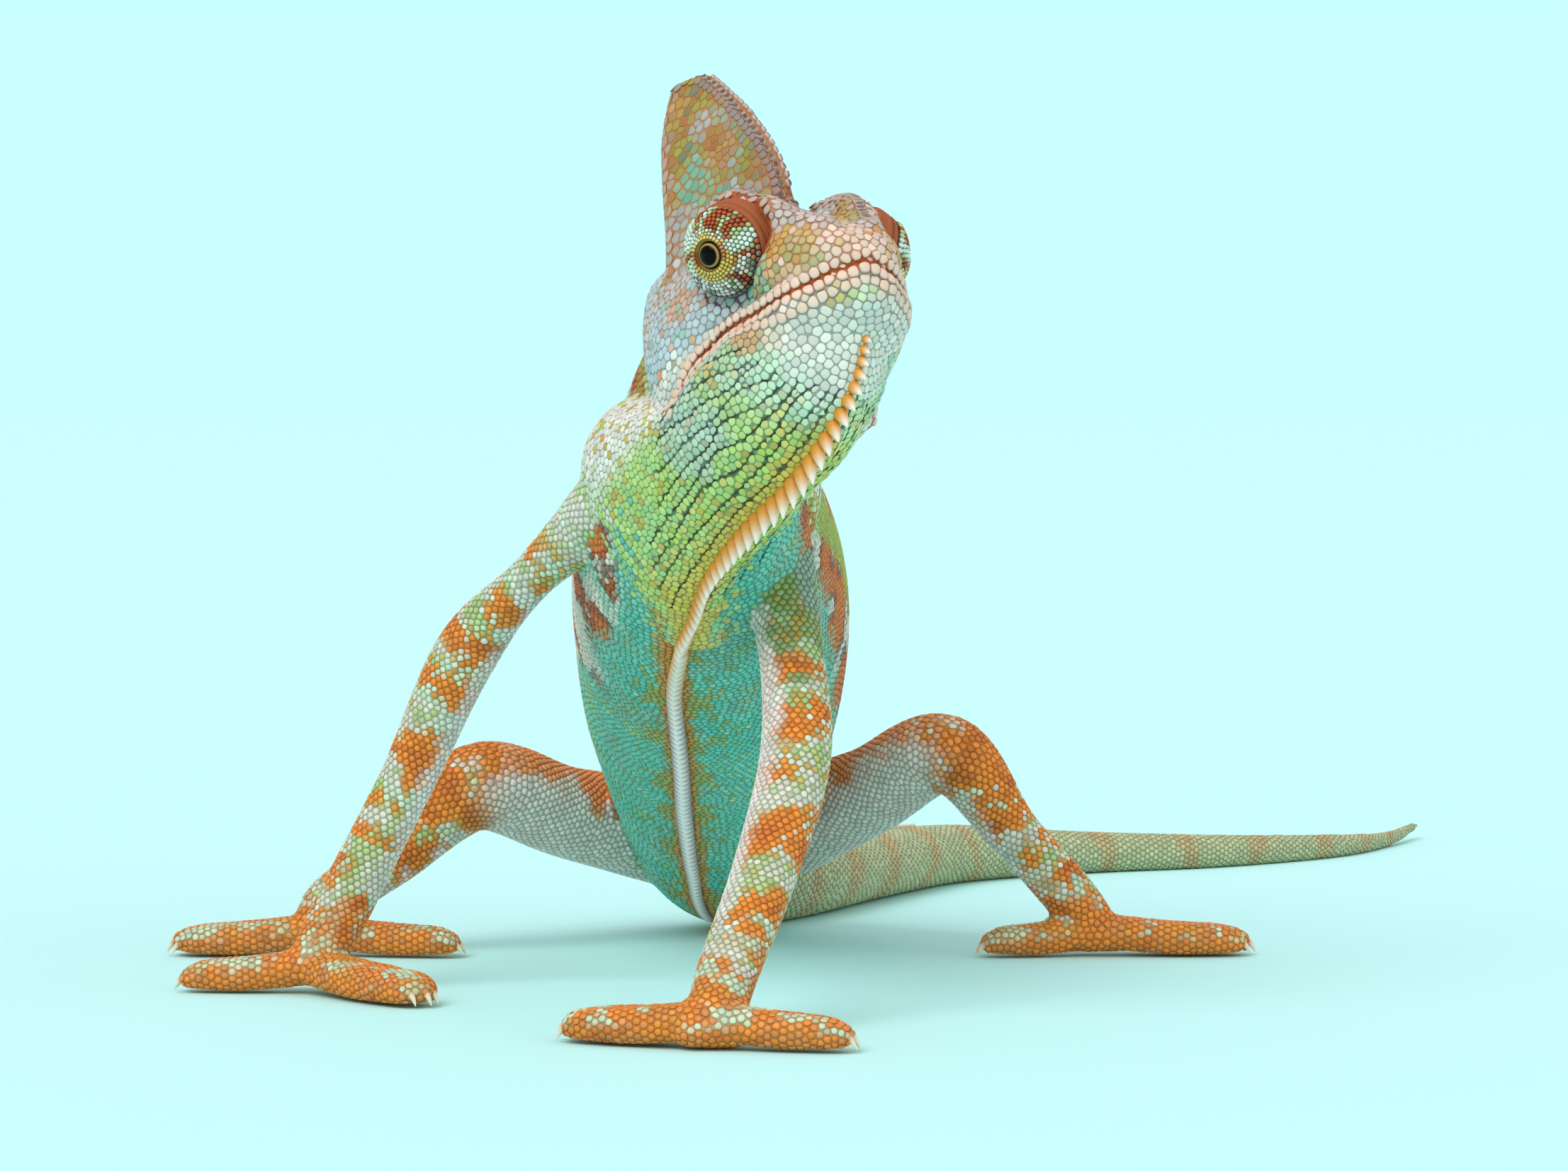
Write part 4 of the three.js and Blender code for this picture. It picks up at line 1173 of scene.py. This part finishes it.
materials = {kind: makeMaterial(finish) for kind, finish in finishes.items()}
print("materials", len(materials))

# The floor is one pale sheet under an even white sky; a broad soft lamp stands left of the camera, a weak
# one right. Lamps: name, place, strength, width in degrees.
studio = {
    "paper": "#c9ffff", "size": 9.0, "tiles": 8, "level": -0.0002, "world": 0.62, "aim": (0, 0, 0.05),
    "lamps": [("key", (-0.55, -0.85, 1.1), 1.5, 40), ("fill", (0.9, -0.7, 0.5), 0.5, 60)],
}


def addFloor():
    # a flat grid of square tiles, size metres each way from the middle
    reach, tiles = studio["size"], studio["tiles"]
    lines = np.linspace(-reach, reach, tiles + 1)
    x, y = np.meshgrid(lines, lines, indexing="ij")
    sheet = np.stack([x, y, np.full_like(x, studio["level"])], -1).reshape(-1, 3)
    r, k = np.meshgrid(np.arange(tiles), np.arange(tiles), indexing="ij")
    a = (r * (tiles + 1) + k).ravel()
    floor = putMesh("floor", sheet, np.stack([a, a + tiles + 1, a + tiles + 2, a + 1], 1))
    # matt card: even and without shine
    paper = bpy.data.materials.new("paleCard")
    paper.use_nodes = True
    shader = paper.node_tree.nodes["Principled BSDF"]
    shader.inputs["Base Color"].default_value = (*linear(studio["paper"]), 1)
    shader.inputs["Roughness"].default_value = 0.9
    floor.data.materials.append(paper)


def addSky():
    # white light all round, with the paper's colour where the camera sees past the floor
    world = bpy.data.worlds.new("studio")
    world.use_nodes = True
    tree = world.node_tree
    soft = tree.nodes["Background"]
    soft.inputs["Strength"].default_value = studio["world"]
    soft.inputs["Color"].default_value = (1, 1, 1, 1)
    drop = addNode(tree, "ShaderNodeBackground", {"Color": (*linear(studio["paper"]), 1), "Strength": 1.0})
    rays = addNode(tree, "ShaderNodeLightPath")
    both = addNode(tree, "ShaderNodeMixShader", {}, {0: (rays, "Is Camera Ray"), 1: (soft, 0), 2: (drop, 0)})
    tree.links.new(both.outputs[0], tree.nodes["World Output"].inputs["Surface"])
    bpy.context.scene.world = world


def addLamps():
    # lamps as far off as the sun: only the direction counts, and a wide disc makes soft shadows
    for name, at, strength, wide in studio["lamps"]:
        data = bpy.data.lights.new(name, "SUN")
        data.energy = strength
        data.angle = math.radians(wide)
        lamp = bpy.data.objects.new(name, data)
        lamp.location = at
        lamp.rotation_euler = aimed(at)
        bpy.context.scene.collection.objects.link(lamp)


def aimed(at):
    # the turn that points a lamp at the animal's middle
    return (Vector(at) - Vector(studio["aim"])).to_track_quat("Z", "Y").to_euler()


addFloor()
addSky()
addLamps()
bpy.context.scene.view_settings.view_transform = "Standard"
print("studio")

# the one skin stands for all the flesh
flesh = [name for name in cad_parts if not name.startswith("eye_")]
skinTint = skinColour(place, skinPoints, skinNormals)
addPiece("skin", skinPoints, skinFaces, skinTint, "skin", flesh)
print("skin coloured")


def rimmed(colour, shares, kind, edge=None, veins=0):
    # darker towards a scale's edge as painted shade where it meets its neighbours, or veined with the edge
    # colour there; the tubercles of the ridges are dark with pale rims instead
    # painted shade: the outer rings at 0.95 and 0.7 of the colour, darkest at the edge
    shade = np.where(shares > 0.95, 0.7, np.where(shares > 0.8, 0.95, 1.0))
    plain = colour[:, None] * shade[None, :, None]
    if edge is not None:
        share = veins[:, None, None] * np.clip((shares - 0.55) / 0.45, 0, 1)[None, :, None]
        plain = plain + (edge - plain) * share
    dark = np.isin(kind, ["ridge", "brow"])[:, None, None]
    rim = np.clip((shares - 0.72) / 0.2, 0, 1)[None, :, None] * 0.8
    pale = colour[:, None] + (linear(colours["pinkLilac"]) - colour[:, None]) * rim
    return np.where(dark, pale, plain)


tints = {"ridge": ("umber", 0.95), "edge": ("ash", 0.8), "brow": ("umber", 0.85), "lip": ("lipPink", 0.8)}


def addScales():
    # the coat, in pieces by group, each scale a closed plate with its own patch of the unwrap
    own = dice.random(len(scalePoints))
    colour = paint(scalePlace, scalePoints, scaleNormals, own)
    for name, (tint, share) in tints.items():
        mix = (scaleKinds == name)[:, None] * share * (0.7 + 0.5 * own[:, None])
        colour = colour + (linear(colours[tint]) - colour) * np.clip(mix, 0, 1)
    groups = np.array([part["group"] for part in parts])[scalePlace["part"]]
    back = scalePoints[:, 1]
    third = np.where(back < coatCuts["chest"], "chest", np.where(back < coatCuts["belly"], "belly", "hips"))
    groups = np.where(groups == "trunk", third, groups)
    local = inHead(scalePoints)
    veined = partIs(scalePlace, "casque", "skull", "brow")
    veined = veined * step(-12, -2, local[:, 2] - 0.3 * np.abs(local[:, 0]))
    veined = veined * step(-0.2, 0.15, cloud(scalePoints, 4, 31) - 0.5)
    total = 0
    for group in sorted(set(groups)):
        mine = (groups == group) & (scaleKinds != "none")
        nearHead = group in ("head", "casque", "throat")
        make = plates["head" if nearHead else "body"]
        points, normals, sizes, kinds = only(mine, scalePoints, scaleNormals, scaleSizes, scaleKinds)
        along, shade = only(mine, scalePlace["along"], colour)
        heights = sizes * make["height"]
        for name, share in tall.items():
            heights = np.where(kinds == name, sizes * share, heights)
        mesh, tris, shares, flat = plateMesh(points, normals, sizes, heights, along, make,
                                             scalePoints, scaleSizes)
        veins = 0.75 * veined[mine] if nearHead else 0.0 * sizes
        shade = rimmed(shade, shares, kinds, linear(colours["grove"]), veins)
        piece = addPiece(group + "Scales", mesh, tris, shade, "plate")
        addUnwrap(piece, placesOnUnwrap(mine), flat, tris)
        total += len(tris)
        print(group, "scales", len(points), "triangles", len(tris))
    print("scale triangles", total)


def placesOnUnwrap(mine):
    # parts stand side by side; u is the way round the part and v the way along it
    part = scalePlace["part"][mine]
    _, slot = np.unique(part, return_inverse=True)
    share = np.bincount(slot) ** 0.6
    start = np.concatenate([[0], np.cumsum(share)]) / share.sum()
    last = np.array([len(p["rows"]) - 1 for p in parts])[part]
    around = np.clip(scalePlace["arc"][mine] / np.maximum(scalePlace["girth"][mine], 1) + 0.5, 0, 1)
    u = start[slot] + (0.03 + 0.94 * around) * (start[slot + 1] - start[slot])
    v = 0.03 + 0.94 * np.clip((scalePlace["t"][mine] + 0.3) / (last + 0.6), 0, 1)
    return np.stack([u, v], 1)


addScales()

# The crests: cones along the throat, thin leaves that overlap down the belly, small teeth along the back.
# Rows: place along the line (0 to 1), length, half width, half depth, outwards, gap. Lines: part, from, to.
# Near and far: the colours of root and tip before and after the turns, which are places along the line.
crests = {
    "crest": {
        "rows": [
            (0, 1.2, 0.6, 0.6, 0.95, 1.3), (0.05, 2.4, 0.8, 0.9, 0.95, 1.7),
            (0.12, 3.6, 0.95, 1.1, 0.92, 2.0), (0.2, 3.5, 1.0, 1.1, 0.88, 2.0),
            (0.28, 2.4, 0.88, 0.85, 0.82, 1.6), (0.36, 1.9, 0.9, 0.5, 0.7, 1.35),
            (0.45, 2.0, 1.1, 0.24, 0.42, 1.3), (0.75, 2.1, 1.25, 0.2, 0.4, 1.4),
            (1, 1.5, 0.85, 0.17, 0.36, 1.1),
        ],
        "lines": (("throat", 0.0, 5.0), ("trunk", 1.6, 6.3)), "below": True,
        # on the belly the dark root colour shows just below each leaf's tip, partly the leaves' own grey-pink
        # and partly painted shadow of the leaf before
        "near": ("honey", "bone"), "far": ("ash", "petal"), "turns": (0.42, 0.56),
    },
    "backCrest": {
        "rows": [
            (0, 1.0, 0.5, 0.55, 0.85, 1.3), (0.4, 1.2, 0.5, 0.6, 0.8, 1.5), (1, 0.7, 0.4, 0.4, 0.75, 1.3),
        ],
        "lines": (("nape", 0.7, 1.9), ("trunk", 2.2, 6.9), ("tail", 0.5, 2.6)), "below": False,
        "near": ("rust", "cream"), "far": ("reed", "cream"), "turns": (0.75, 0.85),
    },
}
spike = {
    "sides": 10, "high": (-0.2, 0, 0.3, 0.58, 0.74, 0.88, 0.97), "root": 0.3, "hook": 0.12,
    "cone": (0.85, 1.0, 0.88, 0.6, 0.4, 0.21, 0.1), "leaf": (0.6, 0.85, 1.0, 0.95, 0.68, 0.34, 0.1),
    "apart": 0.25, "smoothing": 80,
}


def crestLine(crest):
    # the lowest or highest line of the parts, where it shows
    pieces = []
    for name, low, high in crest["lines"]:
        part = parts[partNames.index(name)]
        use = (part["t"] >= low) & (part["t"] <= high)
        line = alongLine(part["grid"][use, part["grid"].shape[1] // 2 if crest["below"] else 0], 0.5)
        pieces.append(onSkin(line, 0.8))
    line = np.concatenate(pieces)
    for _ in range(spike["smoothing"]):
        line[1:-1] = (line[:-2] + 2 * line[1:-1] + line[2:]) / 4
    return alongLine(line, spike["apart"])


def addCrest(name, crest):
    # each spike is a stack of ovals along its own axis, which leans from straight out to along the line and
    # hooks a little; the ovals' sizes follow the cone's outline, the leaf's or one between
    line = crestLine(crest)
    last = len(line) - 1
    spots, rows = [], np.array(crest["rows"])
    at = 0.0
    while at < 1:
        spots.append(at)
        at += np.interp(at, rows[:, 0], rows[:, 5]) / (spike["apart"] * len(line))
    spots = np.array(spots)
    long, wide, deep, outward = (np.interp(spots, rows[:, 0], rows[:, k]) for k in (1, 2, 3, 4))
    index = np.arange(last + 1)
    base, after, before = (readLine(line, index, np.clip(spots * last + k, 0, last)) for k in (0, 6, -6))
    ahead = unit(after - before)
    base, normal, _ = snap(base)
    normal = unit(normal - ahead * (normal * ahead).sum(1, keepdims=True))
    side = np.cross(ahead, normal)
    lean = unit(normal * outward[:, None] + ahead * (1 - outward)[:, None])
    upright = unit(np.cross(side, lean))
    angle = np.linspace(0, 2 * np.pi, spike["sides"], endpoint=False)
    flat = step(0.8, 0.5, outward)
    rings = []
    for high, cone, leaf in zip(spike["high"], spike["cone"], spike["leaf"]):
        hook = spike["hook"] * max(high, 0) ** 2
        middle = base + lean * (long * high)[:, None] + ahead * (long * hook)[:, None]
        share = (cone + (leaf - cone) * flat)[:, None, None]
        rings.append(middle[:, None] + share * (
            side[:, None] * (np.sin(angle) * wide[:, None])[..., None]
            - upright[:, None] * (np.cos(angle) * deep[:, None])[..., None]))
    tip = base + lean * long[:, None] + ahead * (long * spike["hook"])[:, None]
    root = base - lean * (spike["root"] * long)[:, None]
    count, sides, layers = len(base), spike["sides"], len(rings)
    mesh = np.concatenate([tip[:, None], *rings[::-1], root[:, None]], 1).reshape(-1, 3)
    tris = plateTriangles(count, sides, layers)
    height = np.concatenate([[1], np.repeat(spike["high"][::-1], sides), [-spike["root"]]])[None, :, None]
    far = step(*crest["turns"], spots)[:, None, None]
    colour = 0
    for (low, pale), share, fade in ((crest["near"], 1 - far, (0.3, 0.9)), (crest["far"], far, (0.5, 0.68))):
        tint = step(*fade, height)
        colour = colour + share * (linear(colours[low]) * (1 - tint) + linear(colours[pale]) * tint)
    # painted shade: every spike darker at its root, and the far spikes darker along their side edges
    leafEdgeShade = np.concatenate([[0], np.tile(np.abs(np.sin(angle)) ** 6, layers), [0]])[None, :, None]
    colour = colour * (0.8 + 0.2 * step(-0.1, 0.35, height)) * (1 - 0.3 * leafEdgeShade * far)
    addPiece(name, mesh, tris, colour, "plate")
    print(name, count, "scales")


for name, crest in crests.items():
    addCrest(name, crest)

# Eye turrets: bars of brown across pale green run out from the opening, which has a golden rim; past the
# scales comes bare skin, rusty above and darkened below as painted shade in its folds. Bars: turn, and the
# angle where they start.
bars = {"rows": ((110, 32), (70, 27), (36, 30), (-14, 27), (-66, 33), (168, 18)), "half": 10, "wander": 30}


def turretColour(tilt, turn, points, own):
    # a bar covers the turns within half of its own, past its start; wander bends it, less near the opening
    wander = (cloud(points, 2.2, 21) - 0.5) * bars["wander"] * 2 + (own - 0.5) * 12
    degrees = np.degrees(turn) + wander * np.minimum(1, 30 / np.maximum(tilt, 10))
    colour = np.zeros((len(tilt), 3)) + linear(colours["milk"])
    for at, start in bars["rows"]:
        gap = np.abs((degrees - at + 180) % 360 - 180)
        ends = step(start - 3, start + 3, tilt + 8 * (own - 0.5))
        colour = layered(colour, [
            ("leaf", step(bars["half"] + 10, bars["half"] + 4, gap) * ends * 0.75),
            ("rust", step(bars["half"] + 3, bars["half"] - 2, gap) * ends),
            ("blood", step(bars["half"] - 3, bars["half"] - 7, gap) * ends * (own > 0.4) * 0.8),
        ])
    below = step(0.1, -0.5, np.sin(turn))
    rim = step(turret["edge"] - 1, turret["edge"] + 2, tilt)
    return layered(colour, [
        ("yellow", step(25 + 12 * below, 20 + 9 * below, tilt + 8 * (own - 0.5)) * 0.9),
        ("rust", step(26, 20, tilt) * step(0.8, 0.95, np.abs(np.cos(turn))) * 0.8),
        ("amber", step(18, 15, tilt) * 0.5),
        ("umber", below * step(28, 38, tilt) * (own > 0.62) * 0.75),
        ("bone", below * step(28, 38, tilt) * (own < 0.4) * 0.8),
        # painted shade: the lower side near the turret's base darkened
        ("umber", below * step(50, 58, tilt) * 0.85),
        ("clay", rim * step(-0.5, -0.1, np.sin(turn + 0.4)) * step(-0.9, -0.5, np.cos(turn))),
        # painted shade on the lower side of the rim
        ("paintedFoldShade", rim * step(-0.1, -0.5, np.sin(turn + 0.4))),
    ])


def closed(rings, sides):
    # triangles of a closed grid whose two end points follow the grid's own
    last = rings * sides
    k = np.arange(sides)
    after = (k + 1) % sides
    inner = gridFaces(rings, sides)
    return np.concatenate([inner[:, [0, 1, 2]], inner[:, [0, 2, 3]],
                           np.stack([np.full_like(k, last), after, k], 1),
                           np.stack([np.full_like(k, last + 1), last - sides + k, last - sides + after], 1)])


def outwards(points, tris):
    # turns the triangles so that they face away from the middle
    normals = normalsOf(points, tris)
    inward = ((points - points.mean(0)) * normals).sum() < 0
    return (tris[:, ::-1], -normals) if inward else (tris, normals)


def turned(side, out, off, sides):
    # an outline turned about the line of sight: its rings of points, and the triangles with two end points
    angle = np.linspace(0, 2 * np.pi, sides, endpoint=False)
    ring = inTurret(side, *np.broadcast_arrays(out[:, None], off[:, None], angle))
    return ring, closed(len(out), sides)


def addTurret(side, name):
    # the turret's skin: its outline turned about the line of sight, with fine folds past the scales, its
    # colour darkened as painted shade
    outline = np.array(turret["outline"])
    tilt = np.radians(np.arange(*turret["rings"]))
    far = np.interp(np.degrees(tilt), outline[:, 0], outline[:, 1])
    out = np.append(far * np.cos(tilt), turret["lid"][0])
    off = np.append(far * np.sin(tilt), turret["lid"][1])
    ring, faces = turned(side, out, off, turret["sides"])
    ends = inTurret(side, out[[0, -1]], np.zeros(2), np.zeros(2))
    points = np.concatenate([ring.reshape(-1, 3), ends])
    tris, normals = outwards(points, faces)
    angleOut, _, turn = fromTurret(points, side)
    folds = 0.07 * np.sin(angleOut * 1.9 + 2 * cloud(points, 3, 8)) * step(64, 68, angleOut)
    # painted shade: the skin darker under the scales, in the two grooves of the folds and in the fine folds'
    # hollows, lighter on their crests
    scaled = step(turret["edge"] + 1, turret["edge"] - 2, angleOut)
    inner, outer = turret["folds"]
    groove = 1 - 0.75 * step(2.5, 0.5, np.abs(angleOut - inner))
    groove = groove - 0.5 * step(1.5, 0.4, np.abs(angleOut - outer))
    shade = (1 - 0.55 * scaled) * groove * (0.85 + 3 * folds)
    colour = turretColour(angleOut, turn, points, np.full(len(points), 0.5)) * shade[:, None]
    points = points + normals * (folds - 0.1)[:, None]
    addPiece("turretSkin" + name, points, tris, colour, "skin",
             ["eye_turret_" + name[0].lower()])

    # its scales: rings of small plates from the opening's rim to where the bare skin starts
    spots, sizes = layRows({"grid": ring[:-1], "t": np.linspace(0, 1, len(ring) - 1), "rows": [0, 0],
                            "scale": turret["scale"] * 1.5, "scaleEnd": turret["lidScale"]})
    found, _ = nearest(spots, ring.reshape(-1, 3), 1, 3)
    tilt, _, turn = fromTurret(spots, side)
    keep = (tilt > turret["scaled"]) & (tilt < turret["edge"] + 12 * step(0.5, 0.9, -np.cos(turn)))
    spots, sizes, normal, tilt, turn = only(keep, spots, sizes, normals[found[:, 0]], tilt, turn)
    own = dice.random(len(spots))
    make = plates["turret"]
    gaze = turretAxes(side)[0] @ headAxes
    along = unit(np.cross(normal, np.cross(normal, gaze)))
    heights = sizes * make["height"]
    mesh, tris, shares, flat = plateMesh(spots, normal, sizes, heights, along, make, spots, sizes)
    colour = uneven(turretColour(tilt, turn, spots, own), own, darkest=0.85)
    colour = rimmed(colour, shares, np.full(len(spots), "plate"))
    piece = addPiece("turretScales" + name, mesh, tris, colour, "plate")
    addUnwrap(piece, np.stack([0.5 + turn / 2.2 / np.pi, tilt / 100], 1), flat, tris)
    print("turret", name, len(spots), "scales")


def addEye(side, name):
    # a wet ball: black pupil, a thin bronze line round it and dark brown up to the lids
    polar = np.linspace(0, np.pi, eyeball["rings"] + 1)[1:-1]
    r = eyeball["radius"]
    ring, faces = turned(side, eyeball["out"] + r * np.cos(polar), r * np.sin(polar), eyeball["sides"])
    ends = inTurret(side, eyeball["out"] + np.array([r, -r]), np.zeros(2), np.zeros(2))
    points = np.concatenate([ring.reshape(-1, 3), ends])
    tris, _ = outwards(points, faces)
    tilt = np.degrees(np.append(np.repeat(polar, eyeball["sides"]), [0, np.pi]))
    pupil, iris = eyeball["pupil"], eyeball["iris"]
    line = step(pupil, pupil + 2, tilt) * step(iris + 2, iris, tilt)
    rest = step(iris, iris + 4, tilt)[:, None]
    colour = linear(eyeball["black"]) * (1 - rest) + linear(eyeball["brown"]) * rest
    colour = colour + (linear(eyeball["bronze"]) - colour) * line[:, None]
    addPiece("eyeball" + name, points, tris, colour, "eye", ["eye_" + name[0].lower()])
    print("eye", name)


for side, name in ((1, "Left"), (-1, "Right")):
    addTurret(side, name)
    addEye(side, name)

# Claws: short hooks that leave each toe's tip and curve down to the floor.
claws = {"from": 0.1, "long": 1.25, "top": 1.8, "rise": 0.4, "drop": 1.7, "radius": 0.52, "tip": 0.05,
         "sides": 10, "rings": 9}


def addClaws():
    # a claw's height is top + rise * s - drop * s squared, and its radius falls with (1 - s) to the power 0.7
    s = np.linspace(0, 1, claws["rings"])
    high = claws["top"] + claws["rise"] * s - claws["drop"] * s ** 2
    thick = np.repeat((claws["radius"] * (1 - s) ** 0.7 + claws["tip"])[:, None], 3, 1)
    grids = []
    for limb in limbs.values():
        for line in toeLines(limb):
            reach = line["long"] + claws["from"] + claws["long"] * s
            middle = np.stack(np.broadcast_arrays(*alongToe(line, reach, high, 0)[:3]), 1)
            part = {"rows": np.hstack([middle, thick]), "up": (0, 0, 1), "dome": 0.4}
            grids.append(sweep(part, claws["sides"], 1, 0)["grid"])
    points, faces = joinGrids(grids)
    points[:, 2] = np.maximum(points[:, 2], standing["sole"] + standing["clear"])
    share = np.tile(np.repeat(np.linspace(0, 1, len(grids[0])), claws["sides"]), len(grids))
    dull, pale = linear(colours["grove"]), linear(colours["cream"])
    addPiece("claws", points, faces, dull + (pale - dull) * step(0.25, 0.6, share)[:, None], "horn")
    print("claws", len(grids))


addClaws()
